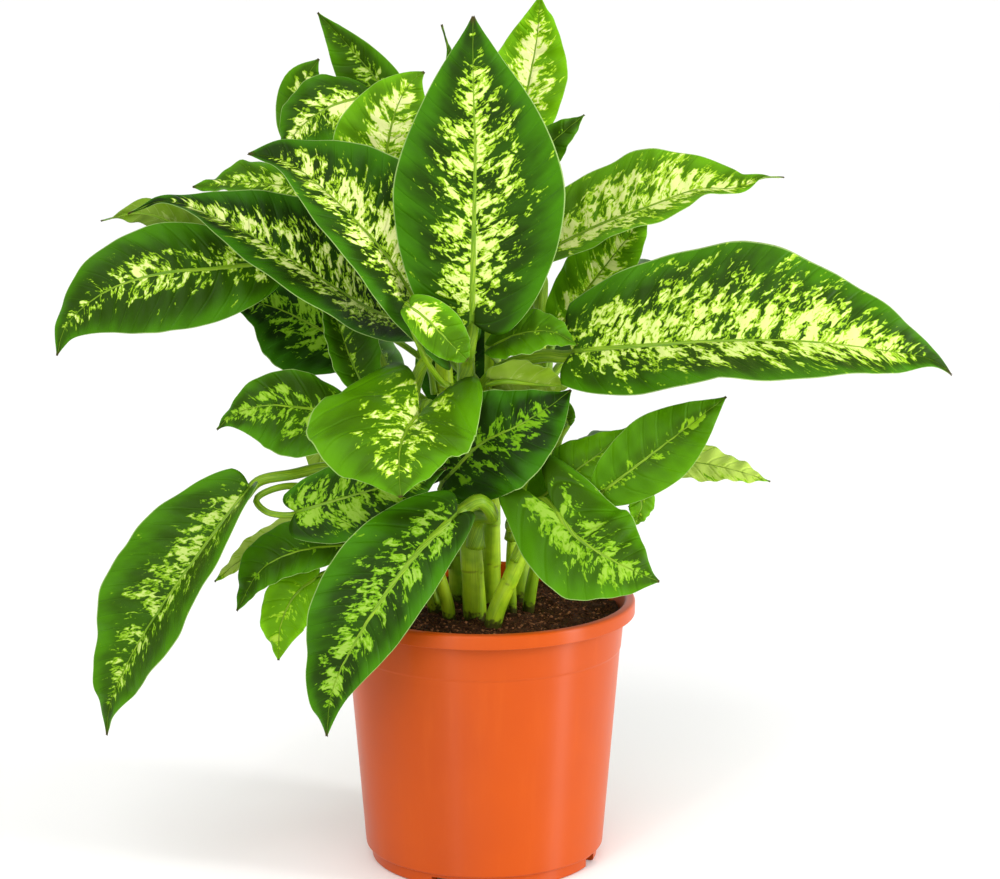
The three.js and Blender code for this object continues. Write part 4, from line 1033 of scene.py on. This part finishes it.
leaf("heart", "cane_front", 230, 46, [(-30, -44, 268), (-33, -62, 266)],
     [(-34, -74, 269), (-40, -92, 263), (-43, -108, 256), (-43, -119, 246), (-42, -125, 234)],
     [(-0.05, -0.42, 0.9), (-0.1, -0.75, 0.65), (-0.1, -0.9, 0.3)], fold=[30, 24, 10], bend=-45, wave=2.2,
     waves=3.5, lobe=0.85, base=0.7, left=0.85, right=1.16,
     rich=0.55, reach=0.98, cream=0.9, pale=0.6, lit=1.1)
leaf("centre_pale", "cane_front", 258, 12, [(-23, -54, 283), (-33, -74, 304)],
     [(-38, -80, 327), (-31, -81, 322), (-23, -80, 314), (-15, -77, 305), (-8, -72, 297)],
     [(-0.1, -0.95, 0.3)], fold=6, bend=-16, wave=1, base=0.5, tip=0.7, left=1.1, right=0.95,
     rich=1.1, reach=1.1, cream=1, pale=0.7, lit=1.05, until=0.52)
leaf("right_high", "cane_back_right", 300, 38, [(31, 14, 316)],
     [(37, 12, 345), (64, 8, 359), (91, 2, 370), (118, -2, 380), (137, -6, 381), (152, -8, 387),
      (165, -8, 387)],
     [(0.1, -0.8, 0.6)], fold_left=8, fold_right=44, bend=-8, wave=2, base=0.55, tip=2.2, left=0.9,
     right=0.64, rich=1.08, reach=1.2, cream=0.8, pale=0.8, lit=1.05)
leaf("right_back", "cane_back_right", 262, 20, [(34, 27, 277)],
     [(41, 21, 298), (57, 19, 321), (76, 17, 346), (93, 14, 368)],
     [(-0.2, -0.9, 0.3)], fold=10, rich=0.8, reach=0.95, cream=0.9, pale=1.05, lit=1.05)
leaf("right_big", "cane_front", 262, 50, [(12, -33, 287), (33, -33, 293)],
     [(48, -42, 297), (84, -56, 302), (126, -64, 306), (168, -64, 306), (212, -56, 300), (241, -48, 293),
      (254, -44, 283)],
     [(0, -0.86, 0.5)], fold_left=[8, 8, 14, 30], fold_right=[16, 48, 40, 10], bend=-14, wave=2.2,
     lobe=0.1, base=0.5, tip=1.55, left=1.12, right=0.82,
     rich=0.98, reach=1.12, cream=0.65, pale=0.18, lit=0.9)
leaf("tip_right", "cane_rear", 328, 11, [(13, -10, 367)],
     [(17, -8, 386), (33, -14, 403), (45, -16, 414), (55, -14, 422)],
     [(-0.1, -0.9, 0.3)], fold=14, wave=2, rich=-0.3, cream=0, lit=0.4)
leaf("under_crown", "cane_rear", 270, 15, [(7, -16, 287)],
     [(4, -38, 299), (19, -46, 307), (36, -50, 309), (51, -48, 301)],
     [(0.1, -0.7, 0.7)], wave=1, rich=-0.1, reach=0.45, cream=0.2, pale=0.55, lit=0.6)
leaf("underside", "cane_fork", 258, 16, [(20, -22, 264)],
     [(6, -37, 280), (13, -41, 281), (29, -42, 279), (47, -37, 277)],
     [(0, 0.85, 0.5)], fold=6, rich=0.2, pale=0.7, cream=0.2)
leaf("centre_dark", "cane_front", 214, 30, [(-23, -30, 217)],
     [(-20, -40, 227), (-1, -50, 248), (18, -53, 258), (35, -51, 268), (48, -45, 277)],
     [(0.1, -0.85, 0.5)], fold=10, bend=-16, wave=2, lobe=0.4, left=0.85, right=1.1,
     rich=0.62, reach=0.9, cream=0, pale=0.05, lit=0.2)
leaf("low_left", "cane_left", 196, 23, [(-73, -36, 216), (-108, -44, 223), (-123, -50, 217),
      (-117, -54, 211)],
     [(-101, -58, 212), (-76, -61, 220), (-56, -62, 226), (-35, -60, 232), (-19, -57, 236)],
     [(0, -0.9, 0.45)], fold=8, bend=-18, base=0.55, left=0.9, right=1.1,
     rich=0.88, reach=1.15, cream=0.1, pale=0.12, lit=0.35)
leaf("low_left_big", "cane_side", 180, 38, [(-79, -28, 229), (-105, -42, 229)],
     [(-126, -52, 224), (-140, -60, 207), (-156, -66, 186), (-174, -70, 161), (-190, -70, 135),
      (-203, -64, 106), (-206, -62, 86)],
     [(-0.2, -0.95, 0.25)], fold_left=[74, 58, 40, 22], fold_right=4, bend=-14, wave=3.5, waves=3.7,
     lobe=0.1, base=0.4, tip=1.5, left=0.85, rich=0.68, reach=0.85, cream=0.45, pale=0.26, lit=0.55)
leaf("pale_low", "cane_back_left", 166, 13, [(-59, -8, 197)],
     [(-77, -20, 196), (-107, -26, 191), (-134, -30, 178), (-149, -32, 166)],
     [(0, -0.6, 0.8)], fold=14, wave=1, rich=1.9, reach=1.9, cream=0.3, pale=1.2, lit=1)
leaf("low_dark", "cane_left", 176, 17, [(-57, -38, 189)],
     [(-73, -42, 190), (-100, -48, 188), (-120, -52, 179), (-135, -50, 154)],
     [(-0.1, -0.8, 0.6)], fold=10, left=0.8, right=1.1, rich=0.15, reach=0.6, cream=0, lit=0.3)
leaf("low_yellow", "cane_left", 158, 15, [(-73, -34, 174)],
     [(-91, -38, 171), (-103, -42, 162), (-111, -44, 146), (-113, -42, 124)],
     [(-0.2, -0.95, 0.2)], fold=8, wave=2, reach=0.9, cream=0.1, pale=1.5)
leaf("low_front", "cane_front", 190, 28, [(5, -52, 209), (-3, -66, 220)],
     [(-14, -76, 215), (-31, -88, 201), (-49, -98, 180), (-66, -102, 154), (-80, -98, 124),
      (-84, -92, 95)],
     [(-0.1, -0.95, 0.25)], fold=6, bend=-14, wave=3, waves=3.5, base=0.4, left=0.75, right=1.22,
     stout=1.7, rich=0.72, reach=0.9, cream=0.15, pale=0.12, lit=0.3)
leaf("low_right", "shoot_mid", 190, 34, [(15, -38, 199), (31, -54, 217)],
     [(38, -69, 216), (49, -80, 204), (63, -89, 196), (80, -94, 188), (94, -94, 182)],
     [(-0.1, -0.8, 0.6)], fold=2, bend=-22, wave=1.8, lobe=0.9, base=0.7, left=0.88, right=0.9,
     rich=0.78, reach=0.95, cream=0.1, pale=0.34, lit=0.35)
leaf("right_mid", "cane_fork", 182, 17, [],
     [(27, -42, 213), (45, -44, 228), (63, -42, 241), (80, -36, 255)],
     [(0, -0.8, 0.6)], fold=10, rich=0.15, reach=0.35, cream=0, pale=0.85, lit=0.4)
leaf("right_low", "shoot_right", 204, 20, [(50, -40, 202)],
     [(65, -59, 224), (84, -63, 240), (105, -61, 256), (131, -54, 275)],
     [(0.15, -0.9, 0.4)], fold=8, base=0.4, rich=0.35, reach=0.4, cream=0, pale=0.5, lit=0.45)
leaf("right_pale", "shoot_right", 196, 17, [(60, 12, 197)],
     [(88, 14, 222), (116, 10, 225), (141, 6, 221), (161, 4, 215)],
     [(0, -0.4, 0.9)], wave=1, rich=1.9, reach=1.9, cream=0.25, pale=1.2, lit=0.95)
leaf("right_drop", "shoot_right", 186, 8, [(65, -8, 202)],
     [(81, -14, 217), (87, -16, 209), (86, -16, 201), (83, -14, 193)],
     [(0.3, -0.9, 0.1)], fold=10, wave=0.5, rich=0.3, cream=0.2, pale=1.1, lit=1)
leaf("young_right", "cane_fork", 240, 6, [],
     [(46, -26, 254), (44, -30, 261), (43, -30, 267), (45, -28, 272)],
     [(0, -1, 0.1)], fold=30, wave=0.5, rich=0, cream=0, pale=0.5, lit=0.5)
leaf("back_high_left", "cane_back_left", 300, 30, [(-42, 52, 326)],
     [(-50, 62, 334), (-72, 90, 352), (-92, 122, 356), (-108, 152, 344), (-116, 172, 326)],
     [(0.2, -0.3, 1), (-0.4, 0.6, 0.7)], fold=10, wave=2)
leaf("back_mid_left", "cane_back_left", 238, 29, [(-46, 46, 262)],
     [(-56, 56, 270), (-82, 86, 288), (-106, 114, 294), (-126, 138, 286), (-136, 150, 272)],
     [(0.3, -0.3, 1), (-0.5, 0.4, 0.7)], fold=10, wave=2)
leaf("back_low_left", "cane_back_left", 206, 29, [(-36, 52, 222)],
     [(-44, 66, 226), (-64, 100, 234), (-84, 134, 226), (-100, 162, 200), (-106, 174, 176)],
     [(0.2, -0.3, 1), (-0.3, 0.8, 0.6)], fold=10, wave=2)
leaf("back_high", "cane_rear", 318, 33, [(4, 36, 352)],
     [(3, 46, 360), (0, 76, 386), (-3, 108, 398), (-5, 140, 388), (-6, 162, 364)],
     [(0, -0.4, 1), (0, 0.8, 0.6)], fold=8, wave=2)
leaf("back_high_right", "cane_back_right", 276, 30, [(54, 48, 308)],
     [(64, 56, 314), (94, 82, 323), (124, 108, 319), (150, 132, 299), (160, 144, 279)],
     [(-0.2, -0.3, 1), (0.4, 0.5, 0.7)], fold=10, wave=2)
leaf("back_mid_right", "cane_back_right", 246, 31, [(44, 60, 272)],
     [(50, 72, 278), (66, 106, 294), (80, 140, 288), (92, 168, 262), (97, 180, 238)],
     [(-0.1, -0.3, 1), (0.2, 0.8, 0.6)], fold=10, wave=2)
leaf("back_low_right", "cane_back_right", 198, 27, [(50, 46, 214)],
     [(58, 56, 219), (78, 82, 225), (96, 106, 217), (108, 126, 199), (112, 135, 185)],
     [(-0.3, -0.2, 1), (0.5, 0.5, 0.6)], fold=10, wave=2)
leaf("back_middle", "cane_rear", 226, 27, [(-2, 32, 238)],
     [(-6, 42, 246), (-11, 46, 266), (-14, 47, 286), (-14, 46, 304), (-12, 43, 318)],
     [(0, -1, 0.1)], fold=8, rich=0.4, reach=0.6, cream=0, pale=0, lit=0.2)
leaf("back_low", "cane_rear", 196, 27, [(6, 52, 216)],
     [(6, 64, 219), (10, 98, 224), (12, 130, 212), (12, 154, 184), (12, 163, 162)],
     [(0, -0.3, 1), (0, 0.8, 0.5)], fold=10, wave=2)

stalk_material = stalk_skin()
for number, listed in enumerate(LEAVES):
    grow_leaf(listed, number, stalk_material)

# ---- Floor and light ----
# A plain pale floor that runs out of the picture, under a wide soft sun from above and in front.
# Two tall strip lamps draw the upright streaks on the pot, and the sky is brighter on the right.

FLOOR_WHITE = tint(247, 247, 246)
FLOOR_SPOT = tint(250, 250, 249)
FLOOR_REACH = 20000
FLOOR_HEIGHT = -0.3
SKY = {"From Min": -1, "From Max": 1, "To Min": 0.66, "To Max": 1.0}
SUN_FROM = (-0.25, -0.75, 1.0)
SUN_POWER = 1.3
SUN_SPREAD = math.radians(40)
LIGHT_AIM = (0, 0, 0.2)
LAMPS = [
    ("lamp_strip_right", (1.30, -0.50, 0.45), 0.26, 1.0, 15),
    ("lamp_strip_left", (-0.63, -1.36, 0.45), 0.04, 1.0, 4),
]


def floor_finish():
    """Near-white floor with the faintest change of tone."""
    finish = Finish("floor", roughness=0.7, specular=0.2)
    shade = finish.grain(finish.place(), 1.5, 2)
    finish.colour(finish.mix(finish.ramp(shade, 0.3, 0.7), FLOOR_WHITE, FLOOR_SPOT))
    return finish.material


floor_corners = ((-1, -1), (1, -1), (1, 1), (-1, 1))
floor_points = [(x * FLOOR_REACH, y * FLOOR_REACH, FLOOR_HEIGHT) for x, y in floor_corners]
floor = mesh_piece("floor", floor_points, [(0, 1, 2, 3)], smooth=False)
floor.data.materials.append(floor_finish())


def shine(name, kind, place, energy):
    """A lamp that points at the middle of the plant."""
    lamp = bpy.data.objects.new(name, bpy.data.lights.new(name, kind))
    lamp.data.energy = energy
    lamp.location = place
    aim = Vector(LIGHT_AIM) - Vector(place)
    lamp.rotation_euler = aim.to_track_quat("-Z", "Y").to_euler()
    bpy.context.scene.collection.objects.link(lamp)
    return lamp


sun = shine("sun", "SUN", SUN_FROM, SUN_POWER)
sun.data.angle = SUN_SPREAD
for name, place, width, height, power in LAMPS:
    lamp = shine(name, "AREA", place, power)
    lamp.data.shape = "RECTANGLE"
    lamp.data.size = width
    lamp.data.size_y = height

world = bpy.data.worlds.new("studio")
world.use_nodes = True
sky = world.node_tree
sky.nodes["Background"].inputs["Color"].default_value = (1, 1, 1, 1)
towards = sky.nodes.new("ShaderNodeTexCoord")
side = sky.nodes.new("ShaderNodeSeparateXYZ")
bright = sky.nodes.new("ShaderNodeMapRange")
for key, value in SKY.items():
    bright.inputs[key].default_value = value
sky.links.new(towards.outputs["Generated"], side.inputs[0])
sky.links.new(side.outputs["X"], bright.inputs["Value"])
sky.links.new(bright.outputs[0], sky.nodes["Background"].inputs["Strength"])
bpy.context.scene.world = world
